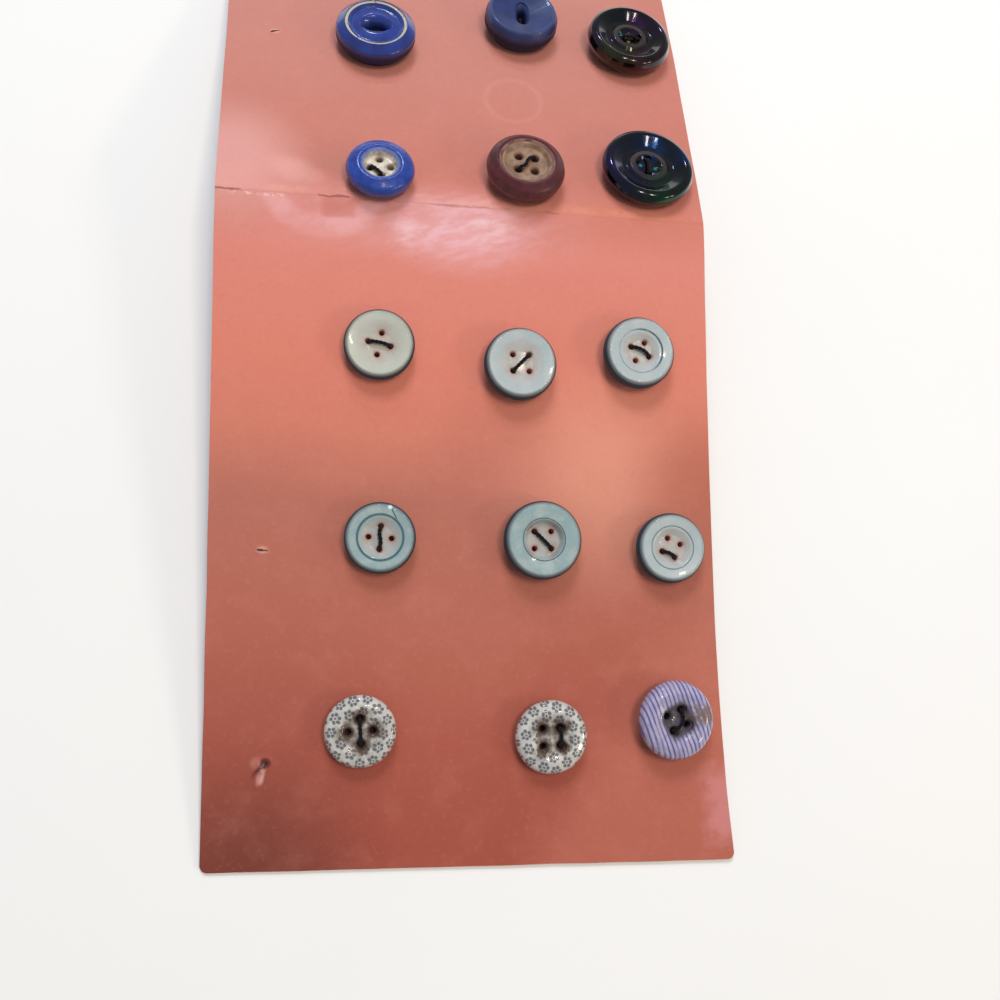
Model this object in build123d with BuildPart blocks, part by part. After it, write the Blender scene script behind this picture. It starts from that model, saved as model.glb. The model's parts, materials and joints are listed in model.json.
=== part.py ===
from build123d import *

import os
from dataclasses import dataclass
from math import atan2, cos, radians, sin, tan

# A card of fifteen sewn-on buttons.  The card is one stiff sheet, creased across its
# upper half, and lies face up as a low tent on its two short edges.
# Millimetres, +Z up, +Y towards the card's top edge, origin under the middle of the card.

# ---- card ----
card_width = 84.0  # widest, across the flared lower corner
card_thickness = 0.5
ridge_height = 14.2  # underside of the crease above the table
crease_up_left = 107.5  # crease from the card's lowest corner, at the left side, as it lies
crease_up_right = 105.0  # the same at the right side, where the fold runs lower
top_past_crease = 60.5  # the top edge past the crease, at the left side
crease_radius = 2.5  # inside the fold
bottom_rise_left = 1.4  # the bottom edge is cut askew and rises to the left
top_drop_right = 1.9  # the top edge falls to the right
side_trim = 1.9  # how far the right edge stands in from the flared corner
waist_trim = 0.35  # the right edge's slight waist above the flare
waist_up = 52.0
flare_up = 30.0  # where the flare to the lower right corner starts
left_trim = 0.2  # the left edge bows in by this much between its corners
corner_radius = 1.0
trim_margin = 3.0  # spare sheet outside the cut outline

# ---- holes in the card ----
needle_clearance = 0.35  # how much wider than the thread its holes in the card are
pin_slit_width = 0.35
torn_hole_width = 1.1
drill_spare = 1.0  # how far a cut runs past the card

# ---- sewing ----
thread = 0.6
thread_bend = 0.12  # inside radius of the thread's bend at each hole
thread_slack = 0.14  # daylight between a stitch and the face under it
back_slack = 0.12  # daylight between a knot and the card's underside
knot = 1.3
seat_gap = 0.05  # between a button's back and the card

half_width = card_width / 2
half_length = (crease_up_left + top_past_crease) / 2
thread_corner = thread / 2 + thread_bend
needle_hole = thread + needle_clearance
drill_reach = card_thickness + drill_spare


# ---- the card's surface: two flat panels that meet at the crease ----
def between(left, right, x):
    """Value at x of what runs straight from the left side of the card to the right."""
    share = (x + half_width) / card_width
    return left + (right - left) * share


def bottom_line(x):
    return between(bottom_rise_left, 0.0, x) - half_length


def crease_line(x):
    return between(crease_up_left, crease_up_right, x) - half_length


def top_line(x):
    return half_length - between(0.0, top_drop_right, x)


crease_skew = atan2(crease_up_left - crease_up_right, card_width)
crease_along = Vector(cos(crease_skew), -sin(crease_skew), 0)
crease_across = Vector(sin(crease_skew), cos(crease_skew), 0)


def past_crease(x, y):
    """Distance in plan from the crease, square to it, positive towards the top edge."""
    return (y - crease_line(x)) * cos(crease_skew)


sides = (-half_width, half_width)
lower_reach = max(-past_crease(x, bottom_line(x)) for x in sides)
upper_reach = max(past_crease(x, top_line(x)) for x in sides)
lower_slope = atan2(ridge_height, lower_reach)
upper_slope = atan2(ridge_height, upper_reach)


def card_normal(x, y):
    if past_crease(x, y) < 0:
        return Vector(0, 0, cos(lower_slope)) - crease_across * sin(lower_slope)
    return Vector(0, 0, cos(upper_slope)) + crease_across * sin(upper_slope)


def card_top(x, y):
    """Point on the card's face, square above the underside at (x, y)."""
    past = past_crease(x, y)
    fall = past * tan(upper_slope) if past > 0 else -past * tan(lower_slope)
    return Vector(x, y, ridge_height - fall) + card_normal(x, y) * card_thickness


# ---- buttons ----
@dataclass
class Button:
    name: str
    from_right: float  # centre, in from the card's lower right corner
    panel: str  # "lower": up is measured from the bottom edge; "upper": from the crease
    up: float  # along the panel
    diameter: float
    height: float  # from the back to the crest of the rim
    style: str
    crest_inset: float  # the rim's crest, in from the outer edge
    well_diameter: float
    well_depth: float  # below the crest
    well_slope: float  # width of the well's sloping wall
    well_lip_drop: float  # how far the well's lip lies below the crest
    holes: int
    hole_circle: float
    hole_turn: float  # first hole, anticlockwise from the right
    stitch: tuple  # the two holes that the thread joins
    hole_diameter: float = 1.2
    ring_diameter: float = 0.0  # a turned groove, or the foot of a raised ring
    ring_width: float = 0.3
    lean: float = 1.0  # tilt against the card, degrees
    lean_towards: float = 270.0  # where the low side points
    foot_inset: float = 1.5  # the flat back, in from the outer edge

    @property
    def across(self):
        return half_width - self.from_right

    @property
    def radius(self):
        return self.diameter / 2

    @property
    def floor(self):
        return self.height - self.well_depth

    @property
    def foot_radius(self):
        return self.radius - self.foot_inset


buttons = [
    Button("gilt_ring_blue", 57.8, "upper", 36.5, 14.1, 4.8, "fish_eye", 1.5, 9.6, 0.5, 0.7, 0.35,
           2, 2.4, 0, (0, 1), 1.1, ring_diameter=10.9, ring_width=0.5, lean=1.5),
    Button("slate_blue", 31.2, "upper", 43.2, 13.4, 5.0, "fish_eye", 0.7, 10.4, 1.2, 3.6, 0.35,
           2, 2.4, 90, (0, 1), 1.1, lean=1.0, foot_inset=1.0),
    Button("black_lustre_small", 11.2, "upper", 40.8, 15.6, 4.5, "lustre", 1.5, 6.2, 1.5, 0.8, 0.9,
           2, 2.9, 3, (0, 1), 1.2, ring_width=1.2, lean=2.0, lean_towards=0.0),
    Button("blue_rim", 57.3, "upper", 4.4, 11.4, 4.0, "ring", 2.0, 5.7, 1.3, 0.7, 0.35,
           4, 3.4, 5, (2, 3), 1.1, lean=1.0),
    Button("maroon", 33.0, "upper", 6.6, 13.4, 4.9, "ring", 1.7, 7.4, 1.2, 0.6, 0.45,
           4, 3.9, 40, (2, 0), 1.2, ring_diameter=8.7, ring_width=0.35, lean=1.5, foot_inset=2.2),
    Button("black_lustre_large", 11.4, "upper", 9.5, 16.2, 3.8, "lustre", 1.4, 6.5, 1.4, 0.8, 0.8,
           2, 2.9, 86, (0, 1), 1.2, ring_width=1.2, lean=1.5, lean_towards=0.0),
    Button("pearl_plain_left", 57.4, "lower", 81.9, 11.4, 3.1, "dish", 0.6, 7.6, 0.75, 1.9, 0.25,
           4, 3.6, -12, (2, 0), lean=0.5, foot_inset=1.3),
    Button("pearl_plain_middle", 34.7, "lower", 79.5, 11.9, 3.7, "dish", 0.6, 7.6, 0.75, 1.9, 0.25,
           4, 3.8, 45, (2, 0), lean=2.0, lean_towards=30.0, foot_inset=1.3),
    Button("pearl_grooved", 14.8, "lower", 82.2, 11.9, 3.8, "dish", 0.6, 6.2, 0.8, 1.2, 0.3,
           4, 3.4, 62, (1, 3), ring_diameter=7.0, lean=1.5, lean_towards=45.0, foot_inset=1.3),
    Button("pearl_cracked", 57.2, "lower", 50.9, 11.3, 3.1, "dish", 0.6, 6.4, 0.8, 1.2, 0.2,
           4, 3.6, -4, (1, 3), ring_diameter=7.2, lean=0.5, foot_inset=1.3),
    Button("pearl_deep_well", 31.4, "lower", 50.9, 12.6, 3.8, "dish", 0.6, 6.6, 1.3, 0.5, 0.2,
           4, 3.9, 45, (1, 3), ring_diameter=7.5, ring_width=0.2, lean=1.5, lean_towards=30.0,
           foot_inset=1.3),
    Button("pearl_stepped", 10.2, "lower", 50.0, 11.4, 3.4, "dish", 0.6, 6.2, 0.9, 1.0, 0.3,
           4, 3.3, 20, (2, 3), ring_diameter=7.1, ring_width=0.2, lean=1.5, lean_towards=30.0,
           foot_inset=1.3),
    Button("calico_left", 60.1, "lower", 21.1, 11.4, 3.2, "china", 2.1, 5.6, 1.1, 1.5, 0.3,
           4, 3.8, 3, (1, 3), lean=0.5),
    Button("calico_middle", 30.3, "lower", 20.0, 11.8, 3.3, "china", 2.1, 5.6, 1.1, 1.5, 0.3,
           4, 3.9, 47, (0, 3), lean=1.0),
    Button("blue_striped", 10.2, "lower", 22.5, 12.8, 3.8, "china", 2.1, 5.8, 1.2, 1.5, 0.3,
           4, 3.6, 68, (0, 2), lean=4.0, lean_towards=0.0),
]


def panel_y(x, panel, up):
    """Place up the card, as it lies, of what is measured up one of its panels."""
    if panel == "lower":
        return bottom_line(x) + up * cos(lower_slope)
    return crease_line(x) + up * cos(upper_slope)


def seat(button):
    """Plane of the button's flat back: z along its axis, x to the right."""
    y = panel_y(button.across, button.panel, button.up)
    normal = card_normal(button.across, y)
    lift = seat_gap + button.foot_radius * sin(radians(button.lean))
    origin = card_top(button.across, y) + normal * lift
    right = (Vector(1, 0, 0) - normal * normal.X).normalized()
    away = normal.cross(right)
    towards = radians(button.lean_towards)
    low_side = right * cos(towards) + away * sin(towards)
    axis = (normal + low_side * tan(radians(button.lean))).normalized()
    return Plane(origin=origin, x_dir=right - axis * axis.dot(right), z_dir=axis)


def section_plane(button):
    """Plane through the button's axis: x outwards, y along the axis."""
    at = seat(button)
    return Plane(origin=at.origin, x_dir=at.x_dir, z_dir=-at.y_dir)


def hole_points(button):
    """Hole centres on the button's own plane."""
    radius = button.hole_circle / 2
    turns = [radians(button.hole_turn + 360 / button.holes * n) for n in range(button.holes)]
    return [(radius * cos(turn), radius * sin(turn)) for turn in turns]


def stitch_points(button):
    points = hole_points(button)
    return [points[hole] for hole in button.stitch]


# ---- half sections: corners from the axis outwards over the face, and each corner's rounding ----
# The upright band of each style's side, as shares of its height from the back.
upright = {
    "dish": (0.4, 0.72),
    "china": (0.36, 0.64),
    "ring": (0.45, 0.68),
    "lustre": (0.4, 0.64),
    "fish_eye": (0.4, 0.72),
}
dip_depth = 0.35  # the lustre buttons' dip, below their raised ring
dip_place = 0.45  # share of the way from the raised ring to the rim's crest


def side(b):
    """The side's upper and lower corner."""
    low, high = upright[b.style]
    return (b.radius, b.height * high), (b.radius, b.height * low)


def dish_section(b):
    """Pearl shell: a shallow dish with an upright, slightly swelling side."""
    well = b.well_diameter / 2
    upper_side, lower_side = side(b)
    return [
        ((0, b.floor), 0),
        ((well - b.well_slope, b.floor), min(1.2, b.well_slope * 0.8)),
        ((well, b.height - b.well_lip_drop), min(1.0, b.well_slope * 0.6)),
        ((b.radius - b.crest_inset, b.height), 0.25),
        (upper_side, 0.35),
        (lower_side, 0.5),
        ((b.foot_radius, 0), 0.3),
        ((0, 0), 0),
    ]


def china_section(b):
    """Pressed china: a domed ring around a dished well."""
    well = b.well_diameter / 2
    upper_side, lower_side = side(b)
    return [
        ((0, b.floor), 0),
        ((well - b.well_slope, b.floor), 0.8),
        ((well, b.height - b.well_lip_drop), 0.9),
        ((b.radius - b.crest_inset, b.height), 0.8),
        (upper_side, 0.6),
        (lower_side, 0.5),
        ((b.foot_radius, 0), 0.4),
        ((0, 0), 0),
    ]


def ring_section(b):
    """A fat rounded rim around a flat-floored well."""
    well = b.well_diameter / 2
    upper_side, lower_side = side(b)
    return [
        ((0, b.floor), 0),
        ((well - b.well_slope, b.floor), 0.3),
        ((well, b.height - b.well_lip_drop), 0.4),
        ((b.radius - b.crest_inset, b.height), 0.9),
        (upper_side, 0.5),
        (lower_side, 0.5),
        ((b.foot_radius, 0), 0.3),
        ((0, 0), 0),
    ]


def lustre_section(b):
    """Pressed glass: a rounded rim, a dipped ring, a raised ring and a small well."""
    ring_outer = b.well_diameter / 2
    ring_inner = ring_outer - b.ring_width
    ring_top = b.height - b.well_lip_drop
    dip = ring_outer + (b.radius - b.crest_inset - ring_outer) * dip_place
    upper_side, lower_side = side(b)
    return [
        ((0, b.floor), 0),
        ((ring_inner - b.well_slope * 0.5, b.floor), 0.2),
        ((ring_inner + 0.1, ring_top), 0.3),
        ((ring_outer, ring_top), 0.3),
        ((dip, ring_top - dip_depth), 0.5),
        ((b.radius - b.crest_inset, b.height), 0.8),
        (upper_side, 0.5),
        (lower_side, 0.4),
        ((b.foot_radius, 0), 0.3),
        ((0, 0), 0),
    ]


def fish_eye_section(b):
    """Moulded glass: a rounded rim around a shallow face that carries the eye."""
    face = b.well_diameter / 2
    upper_side, lower_side = side(b)
    return [
        ((0, b.floor), 0),
        ((face - b.well_slope, b.floor), 0.4),
        ((face, b.height - b.well_lip_drop), 0.25),
        ((b.radius - b.crest_inset, b.height), 0.45),
        (upper_side, 0.4),
        (lower_side, 0.5),
        ((b.foot_radius, 0), 0.3),
        ((0, 0), 0),
    ]


sections = {
    "dish": dish_section,
    "china": china_section,
    "ring": ring_section,
    "lustre": lustre_section,
    "fish_eye": fish_eye_section,
}

eye_length = 5.0
eye_width = 3.2
eye_depth = 2.2
eye_taper = 8.0
groove_depth = 0.18


def eye_floor(button):
    return button.floor - eye_depth


def stitch_height(button):
    """Middle of the thread where it crosses the face."""
    ground = eye_floor(button) if button.style == "fish_eye" else button.floor
    return ground + thread / 2 + thread_slack


def stitch_depth(button):
    """Middle of the thread where it crosses the card's underside."""
    lift = seat_gap + button.foot_radius * sin(radians(button.lean))
    return -(lift + card_thickness + back_slack + knot / 2)


def make_button(button):
    at = seat(button)
    cut_plane = section_plane(button)
    corners = [corner for corner, rounding in sections[button.style](button)]
    roundings = [rounding for corner, rounding in sections[button.style](button)]
    with BuildPart() as turned:
        with BuildSketch(cut_plane):
            with BuildLine():
                FilletPolyline(*corners, radius=roundings[1:-1])
                Line(corners[-1], corners[0])
            make_face()
        revolve(axis=Axis(at.origin, at.z_dir))
        if button.ring_diameter:
            well = button.well_diameter / 2
            land = button.radius - button.crest_inset
            share = (button.ring_diameter / 2 - well) / (land - well)
            face = button.height - button.well_lip_drop * (1 - share)
            with BuildSketch(cut_plane):
                with Locations((button.ring_diameter / 2, face)):
                    Rectangle(button.ring_width, groove_depth * 2)
            revolve(axis=Axis(at.origin, at.z_dir), mode=Mode.SUBTRACT)
        if button.style == "fish_eye":
            with BuildSketch(at.offset(button.height)):
                SlotOverall(eye_length, eye_width, rotation=button.hole_turn)
            depth = button.well_depth + eye_depth
            extrude(amount=-depth, taper=eye_taper, mode=Mode.SUBTRACT)
        with BuildSketch(at.offset(-drill_reach)):
            with Locations(*hole_points(button)):
                Circle(button.hole_diameter / 2)
        extrude(amount=drill_reach + button.height, mode=Mode.SUBTRACT)
    return turned.part


def make_stitch(button):
    """One loop of thread: over the face, through two holes and the card, to a knot behind."""
    at = seat(button)
    (x1, y1), (x2, y2) = stitch_points(button)
    middle = at.from_local_coords(Vector((x1 + x2) / 2, (y1 + y2) / 2, 0))
    run = at.from_local_coords(Vector(x2, y2, 0)) - at.from_local_coords(Vector(x1, y1, 0))
    loop_plane = Plane(origin=middle, x_dir=run, z_dir=run.cross(at.z_dir))
    half_run = run.length / 2
    top = stitch_height(button)
    low = stitch_depth(button)
    tail = knot / 4
    with BuildPart() as sewn:
        with BuildLine(loop_plane) as route:
            FilletPolyline(
                (-tail, low),
                (-half_run, low),
                (-half_run, top),
                (half_run, top),
                (half_run, low),
                (tail, low),
                radius=thread_corner,
            )
        with BuildSketch(Plane(origin=route.line @ 0, z_dir=route.line % 0)):
            Circle(thread / 2)
        sweep(path=route.line)
        with Locations(Plane(origin=loop_plane.from_local_coords(Vector(0, low, 0)), z_dir=run)):
            Sphere(knot / 2)
    return sewn.part


# ---- card ----
crease_start = Vector(-half_width - trim_margin, crease_line(-half_width - trim_margin), 0)
crease_run = (card_width + 2 * trim_margin) / cos(crease_skew)
spare_lower = lower_reach + trim_margin * 2
spare_upper = upper_reach + trim_margin * 2
fold_apex = card_thickness / cos((lower_slope + upper_slope) / 2)
fold_lean = (upper_slope - lower_slope) / 2
under = [
    (-spare_lower, ridge_height - spare_lower * tan(lower_slope)),
    (0, ridge_height),
    (spare_upper, ridge_height - spare_upper * tan(upper_slope)),
]
over = [
    (
        under[0][0] - card_thickness * sin(lower_slope),
        under[0][1] + card_thickness * cos(lower_slope),
    ),
    (fold_apex * sin(fold_lean), ridge_height + fold_apex * cos(fold_lean)),
    (
        under[2][0] + card_thickness * sin(upper_slope),
        under[2][1] + card_thickness * cos(upper_slope),
    ),
]

# A pin slit: in from the left corners, up the panel, length, turn.
pin_slits = {
    "upper": [(8.5, 37.1, 2.0, 20.0)],
    "lower": [(8.6, 49.7, 2.2, -5.0)],
}
torn_hole_from_left = 9.1
torn_hole_up = 17.0
torn_hole_length = 1.7
torn_hole_turn = 60.0


def panel_plane(x, panel, up):
    """Plane on the card's face at a place measured up its panel."""
    y = panel_y(x, panel, up)
    normal = card_normal(x, y)
    return Plane(origin=card_top(x, y), x_dir=crease_along, z_dir=normal)


with BuildPart() as card:
    with BuildSketch(Plane(origin=crease_start, x_dir=crease_across, z_dir=crease_along)):
        with BuildLine():
            FilletPolyline(*under, radius=crease_radius)
            FilletPolyline(*over, radius=crease_radius + card_thickness)
            Line(under[0], over[0])
            Line(under[2], over[2])
        make_face()
    extrude(amount=crease_run)
    right_edge = half_width - side_trim
    with BuildSketch(Plane.XY.offset(-trim_margin)) as outline:
        with BuildLine():
            Polyline(
                (right_edge, top_line(right_edge)),
                (-half_width, half_length),
                (-half_width + left_trim, 0),
                (-half_width + left_trim, bottom_line(-half_width) + waist_up),
                (-half_width, bottom_line(-half_width)),
                (half_width, -half_length),
            )
            Spline(
                (half_width, -half_length),
                (right_edge, -half_length + flare_up),
                (right_edge - waist_trim, -half_length + waist_up),
                (right_edge, crease_line(right_edge)),
                (right_edge, top_line(right_edge)),
            )
        make_face()
        near_ends = half_length - max(bottom_rise_left, top_drop_right) - corner_radius
        corners = outline.vertices().filter_by(lambda v: abs(v.Y) > near_ends)
        fillet(corners, radius=corner_radius)
    extrude(amount=ridge_height * 2, mode=Mode.INTERSECT)
    for button in buttons:
        with BuildSketch(seat(button).offset(-drill_reach)):
            with Locations(*stitch_points(button)):
                Circle(needle_hole / 2)
        extrude(amount=drill_reach * 2, mode=Mode.SUBTRACT)
    for panel, slits in pin_slits.items():
        for from_left, up, length, turn in slits:
            slit_plane = panel_plane(from_left - half_width, panel, up)
            with BuildSketch(slit_plane.offset(-drill_reach)):
                SlotOverall(length, pin_slit_width, rotation=turn)
            extrude(amount=drill_reach * 2, mode=Mode.SUBTRACT)
    torn_plane = panel_plane(torn_hole_from_left - half_width, "lower", torn_hole_up)
    with BuildSketch(torn_plane.offset(-drill_reach)):
        Ellipse(torn_hole_length / 2, torn_hole_width / 2, rotation=torn_hole_turn)
    extrude(amount=drill_reach * 2, mode=Mode.SUBTRACT)

os.makedirs("parts", exist_ok=True)
card.part.label = "card"
export_step(card.part, "parts/card.step")

for button in buttons:
    solid = make_button(button)
    solid.label = f"button_{button.name}"
    export_step(solid, f"parts/button_{button.name}.step")
    loop = make_stitch(button)
    loop.label = f"stitch_{button.name}"
    export_step(loop, f"parts/stitch_{button.name}.step")
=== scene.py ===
import json
import math

import bmesh
import bpy
import numpy as np
from mathutils import Matrix, Vector, noise

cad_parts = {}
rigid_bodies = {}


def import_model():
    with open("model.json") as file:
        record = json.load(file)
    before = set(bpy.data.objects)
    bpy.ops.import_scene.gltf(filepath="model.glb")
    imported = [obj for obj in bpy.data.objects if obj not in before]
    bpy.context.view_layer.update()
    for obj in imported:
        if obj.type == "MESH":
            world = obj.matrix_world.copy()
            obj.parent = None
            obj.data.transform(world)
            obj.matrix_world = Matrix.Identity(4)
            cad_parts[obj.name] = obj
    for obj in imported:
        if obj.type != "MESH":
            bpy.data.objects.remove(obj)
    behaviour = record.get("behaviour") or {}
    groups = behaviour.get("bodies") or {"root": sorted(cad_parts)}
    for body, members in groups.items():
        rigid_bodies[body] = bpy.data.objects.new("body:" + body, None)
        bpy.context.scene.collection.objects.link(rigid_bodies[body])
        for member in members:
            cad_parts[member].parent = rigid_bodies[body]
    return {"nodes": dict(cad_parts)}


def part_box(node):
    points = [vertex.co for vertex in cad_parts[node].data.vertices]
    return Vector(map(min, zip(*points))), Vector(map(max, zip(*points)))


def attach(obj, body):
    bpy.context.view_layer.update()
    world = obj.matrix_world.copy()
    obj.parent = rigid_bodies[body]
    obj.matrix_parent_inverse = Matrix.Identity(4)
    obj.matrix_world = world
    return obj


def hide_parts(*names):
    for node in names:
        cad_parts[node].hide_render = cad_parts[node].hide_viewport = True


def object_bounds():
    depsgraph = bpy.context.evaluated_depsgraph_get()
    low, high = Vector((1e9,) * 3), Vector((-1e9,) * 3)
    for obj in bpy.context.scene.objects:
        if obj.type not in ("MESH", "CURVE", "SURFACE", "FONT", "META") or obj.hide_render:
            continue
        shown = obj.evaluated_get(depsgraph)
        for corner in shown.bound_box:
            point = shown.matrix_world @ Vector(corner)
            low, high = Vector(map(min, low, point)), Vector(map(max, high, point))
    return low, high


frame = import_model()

cad_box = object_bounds()

# Sizes below are in millimetres and are brought to metres where a mesh is made.
mm = 0.001


# ---------------------------------------------------------------- modelling helpers
def deselect():
    for thing in bpy.context.view_layer.objects:
        thing.select_set(False)


def pick(thing):
    """The one active, selected object."""
    deselect()
    thing.select_set(True)
    bpy.context.view_layer.objects.active = thing


def edit(thing):
    pick(thing)
    bpy.ops.object.mode_set(mode="EDIT")


def leave_edit():
    bpy.ops.object.mode_set(mode="OBJECT")


def name_it(thing, name):
    thing.name = name
    thing.data.name = name
    return thing


def apply_modifier(thing, kind, **settings):
    pick(thing)
    modifier = thing.modifiers.new(kind.lower(), kind)
    for name, value in settings.items():
        setattr(modifier, name, value)
    bpy.ops.object.modifier_apply(modifier=modifier.name)


def delete(thing):
    bpy.data.objects.remove(thing, do_unlink=True)


def copy_of(thing, matrix):
    twin = thing.copy()
    twin.data = thing.data.copy()
    twin.data.transform(matrix)
    bpy.context.scene.collection.objects.link(twin)
    return twin


def joined(things, name):
    """Several meshes as one object."""
    deselect()
    for thing in things:
        thing.select_set(True)
    bpy.context.view_layer.objects.active = things[0]
    if len(things) > 1:
        bpy.ops.object.join()
    return name_it(bpy.context.object, name)


def smooth(thing, degrees=40):
    pick(thing)
    bpy.ops.object.shade_smooth_by_angle(angle=math.radians(degrees))


def face_outwards(thing):
    edit(thing)
    bpy.ops.mesh.select_all(action="SELECT")
    bpy.ops.mesh.normals_make_consistent(inside=False)
    leave_edit()


def stand_in(piece, material, node, degrees=40):
    """A finished piece gets its material and shading, and stands for its node."""
    piece.data.materials.clear()
    piece.data.materials.append(material)
    smooth(piece, degrees)
    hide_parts(node)
    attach(piece, "root")


def cut(thing, cutter, solver="EXACT", merge=0.002):
    """Take the cutter's shape out of a piece."""
    apply_modifier(thing, "BOOLEAN", operation="DIFFERENCE", solver=solver, object=cutter)
    delete(cutter)
    # Slivers along the cut, up to the merge distance in mm, are merged away.
    edit(thing)
    bpy.ops.mesh.select_mode(type="VERT")
    bpy.ops.mesh.select_all(action="SELECT")
    bpy.ops.mesh.remove_doubles(threshold=merge * mm)
    bpy.ops.mesh.dissolve_degenerate(threshold=merge / 2 * mm)
    bpy.ops.mesh.select_all(action="SELECT")
    bpy.ops.mesh.fill_holes(sides=12)
    bpy.ops.mesh.select_all(action="SELECT")
    bpy.ops.mesh.quads_convert_to_tris(quad_method="BEAUTY", ngon_method="BEAUTY")
    leave_edit()


def rounded(corners, steps=5):
    """Section points from corners (out, up, radius), each corner eased by an arc."""
    points = []
    for number, (out, up, radius) in enumerate(corners):
        here = Vector((out, up))
        if radius == 0 or number in (0, len(corners) - 1):
            points.append(here)
            continue
        before = Vector(corners[number - 1][:2]) - here
        after = Vector(corners[number + 1][:2]) - here
        half = before.angle(after) / 2
        reach = min(radius / math.tan(half), before.length * 0.48, after.length * 0.48)
        start = here + before.normalized() * reach
        end = here + after.normalized() * reach
        for step in range(steps + 1):
            share = step / steps
            points.append(start.lerp(here, share).lerp(here.lerp(end, share), share))
    return points


def turned(name, section, steps=96):
    """A piece turned on the Z axis from section points in mm, from pole to pole."""
    deselect()
    bpy.ops.mesh.primitive_plane_add(size=mm)
    piece = name_it(bpy.context.object, name)
    edit(piece)
    bpy.ops.mesh.select_mode(type="VERT")
    bpy.ops.mesh.select_all(action="SELECT")
    bpy.ops.mesh.merge(type="CENTER")
    place = Vector((0, 0, 0))
    for number, (out, up) in enumerate(section):
        target = Vector((out, 0, up)) * mm
        step = {"value": target - place}
        if number:
            bpy.ops.mesh.extrude_vertices_move(TRANSFORM_OT_translate=step)
        else:
            bpy.ops.transform.translate(**step)
        place = target
    bpy.ops.mesh.select_all(action="SELECT")
    bpy.ops.mesh.spin(steps=steps, angle=math.tau, center=(0, 0, 0), axis=(0, 0, 1))
    bpy.ops.mesh.select_all(action="SELECT")
    bpy.ops.mesh.remove_doubles(threshold=0.002 * mm)
    bpy.ops.mesh.dissolve_degenerate(threshold=0.001 * mm)
    leave_edit()
    face_outwards(piece)
    return piece


def wavering(piece, amount, size):
    """Small unevenness of a hand-finished face, in mm."""
    for vertex in piece.data.vertices:
        vertex.co.z += amount * mm * noise.noise(vertex.co / (size * mm)) * min(1, vertex.co.z / mm)


# ---------------------------------------------------------------- places, from the frame
# Thread holes: how many, the diameter of their circle, its turn in degrees, and how deep their mouths lie.
hole_plans = {
    "gilt_ring_blue": (2, 2.4, 0, 2.75),
    "slate_blue": (2, 2.4, 90, 3.4),
    "black_lustre_small": (2, 2.9, 3, 1.5),
    "blue_rim": (4, 3.4, 5, 1.3),
    "maroon": (4, 3.9, 40, 1.0),
    "black_lustre_large": (2, 2.9, 86, 1.4),
    "pearl_plain_left": (4, 3.6, -12, 0.75),
    "pearl_plain_middle": (4, 3.8, 45, 0.75),
    "pearl_grooved": (4, 3.4, 62, 0.8),
    "pearl_cracked": (4, 3.6, -4, 0.8),
    "pearl_deep_well": (4, 3.9, 45, 1.3),
    "pearl_stepped": (4, 3.3, 20, 0.9),
    "calico_left": (4, 3.8, 3, 1.05),
    "calico_middle": (4, 3.9, 47, 1.05),
    "blue_striped": (4, 3.6, 68, 1.15),
}


def mesh_points(node):
    mesh = frame["nodes"][node].data
    points = np.empty(len(mesh.vertices) * 3)
    mesh.vertices.foreach_get("co", points)
    return points.reshape(-1, 3)


def mesh_corners(node):
    mesh = frame["nodes"][node].data
    mesh.calc_loop_triangles()
    points = mesh_points(node)
    return points[np.array([triangle.vertices for triangle in mesh.loop_triangles])]


class Seat:
    """Where a sewn button lies: the middle of its flat back, its axis and size, and its thread holes."""

    def __init__(self, name):
        node = "button_" + name
        corners = mesh_corners(node)
        middles = (corners + np.roll(corners, 1, axis=1)) / 2
        sides = np.cross(corners[:, 1] - corners[:, 0], corners[:, 2] - corners[:, 0])
        weights = np.repeat(np.linalg.norm(sides, axis=1), 3)
        samples = middles.reshape(-1, 3)
        centre = np.average(samples, axis=0, weights=weights)
        spread = ((samples - centre).T * weights) @ (samples - centre)
        axis = np.linalg.eigh(spread)[1][:, 0]
        axis = Vector(axis if axis[2] > 0 else -axis)
        right = (Vector((1, 0, 0)) - axis * axis.x).normalized()
        away = axis.cross(right)
        rising = [axis.dot(Vector(point)) for point in mesh_points(node)]
        self.foot = Vector(centre) + axis * (min(rising) - axis.dot(Vector(centre)))
        self.matrix = Matrix((right, away, axis)).transposed().to_4x4()
        self.matrix.translation = self.foot
        self.height = (max(rising) - min(rising)) / mm
        flat = [self.matrix.inverted() @ Vector(point) for point in mesh_points(node)]
        self.radius = max(point.xy.length for point in flat) / mm
        count, circle, turn, depth = hole_plans[name]
        self.floor = self.height - depth
        spokes = [math.radians(turn + 360 / count * number) for number in range(count)]
        self.holes = [Vector((math.cos(spoke), math.sin(spoke), 0)) * (circle / 2) for spoke in spokes]


class Panel:
    """One flat half of the card: its largest triangle gives the plane."""

    def __init__(self, side):
        corners = mesh_corners("card")
        faces = np.cross(corners[:, 1] - corners[:, 0], corners[:, 2] - corners[:, 0])
        leaning = np.where(faces[:, 1] * side > 0, faces[:, 2], 0)
        best = int(np.argmax(leaning))
        self.normal = Vector(faces[best]).normalized()
        self.point = Vector(corners[best][0])

    def height(self, x, y):
        across = self.normal.x * (x - self.point.x) + self.normal.y * (y - self.point.y)
        return self.point.z - across / self.normal.z


lower_panel = Panel(-1)
upper_panel = Panel(1)
seats = {name: Seat(name) for name in hole_plans}
card_low, card_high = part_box("card")
card_points = mesh_points("card")
card_x = card_points[:, 0]
card_y = card_points[:, 1]


def rim_line(chosen, along, across):
    """The card's cut outline as (place along the edge, place across it)."""
    picked = card_points[chosen]
    order = np.argsort(picked[:, along])
    return picked[order, along], picked[order, across]


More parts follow.
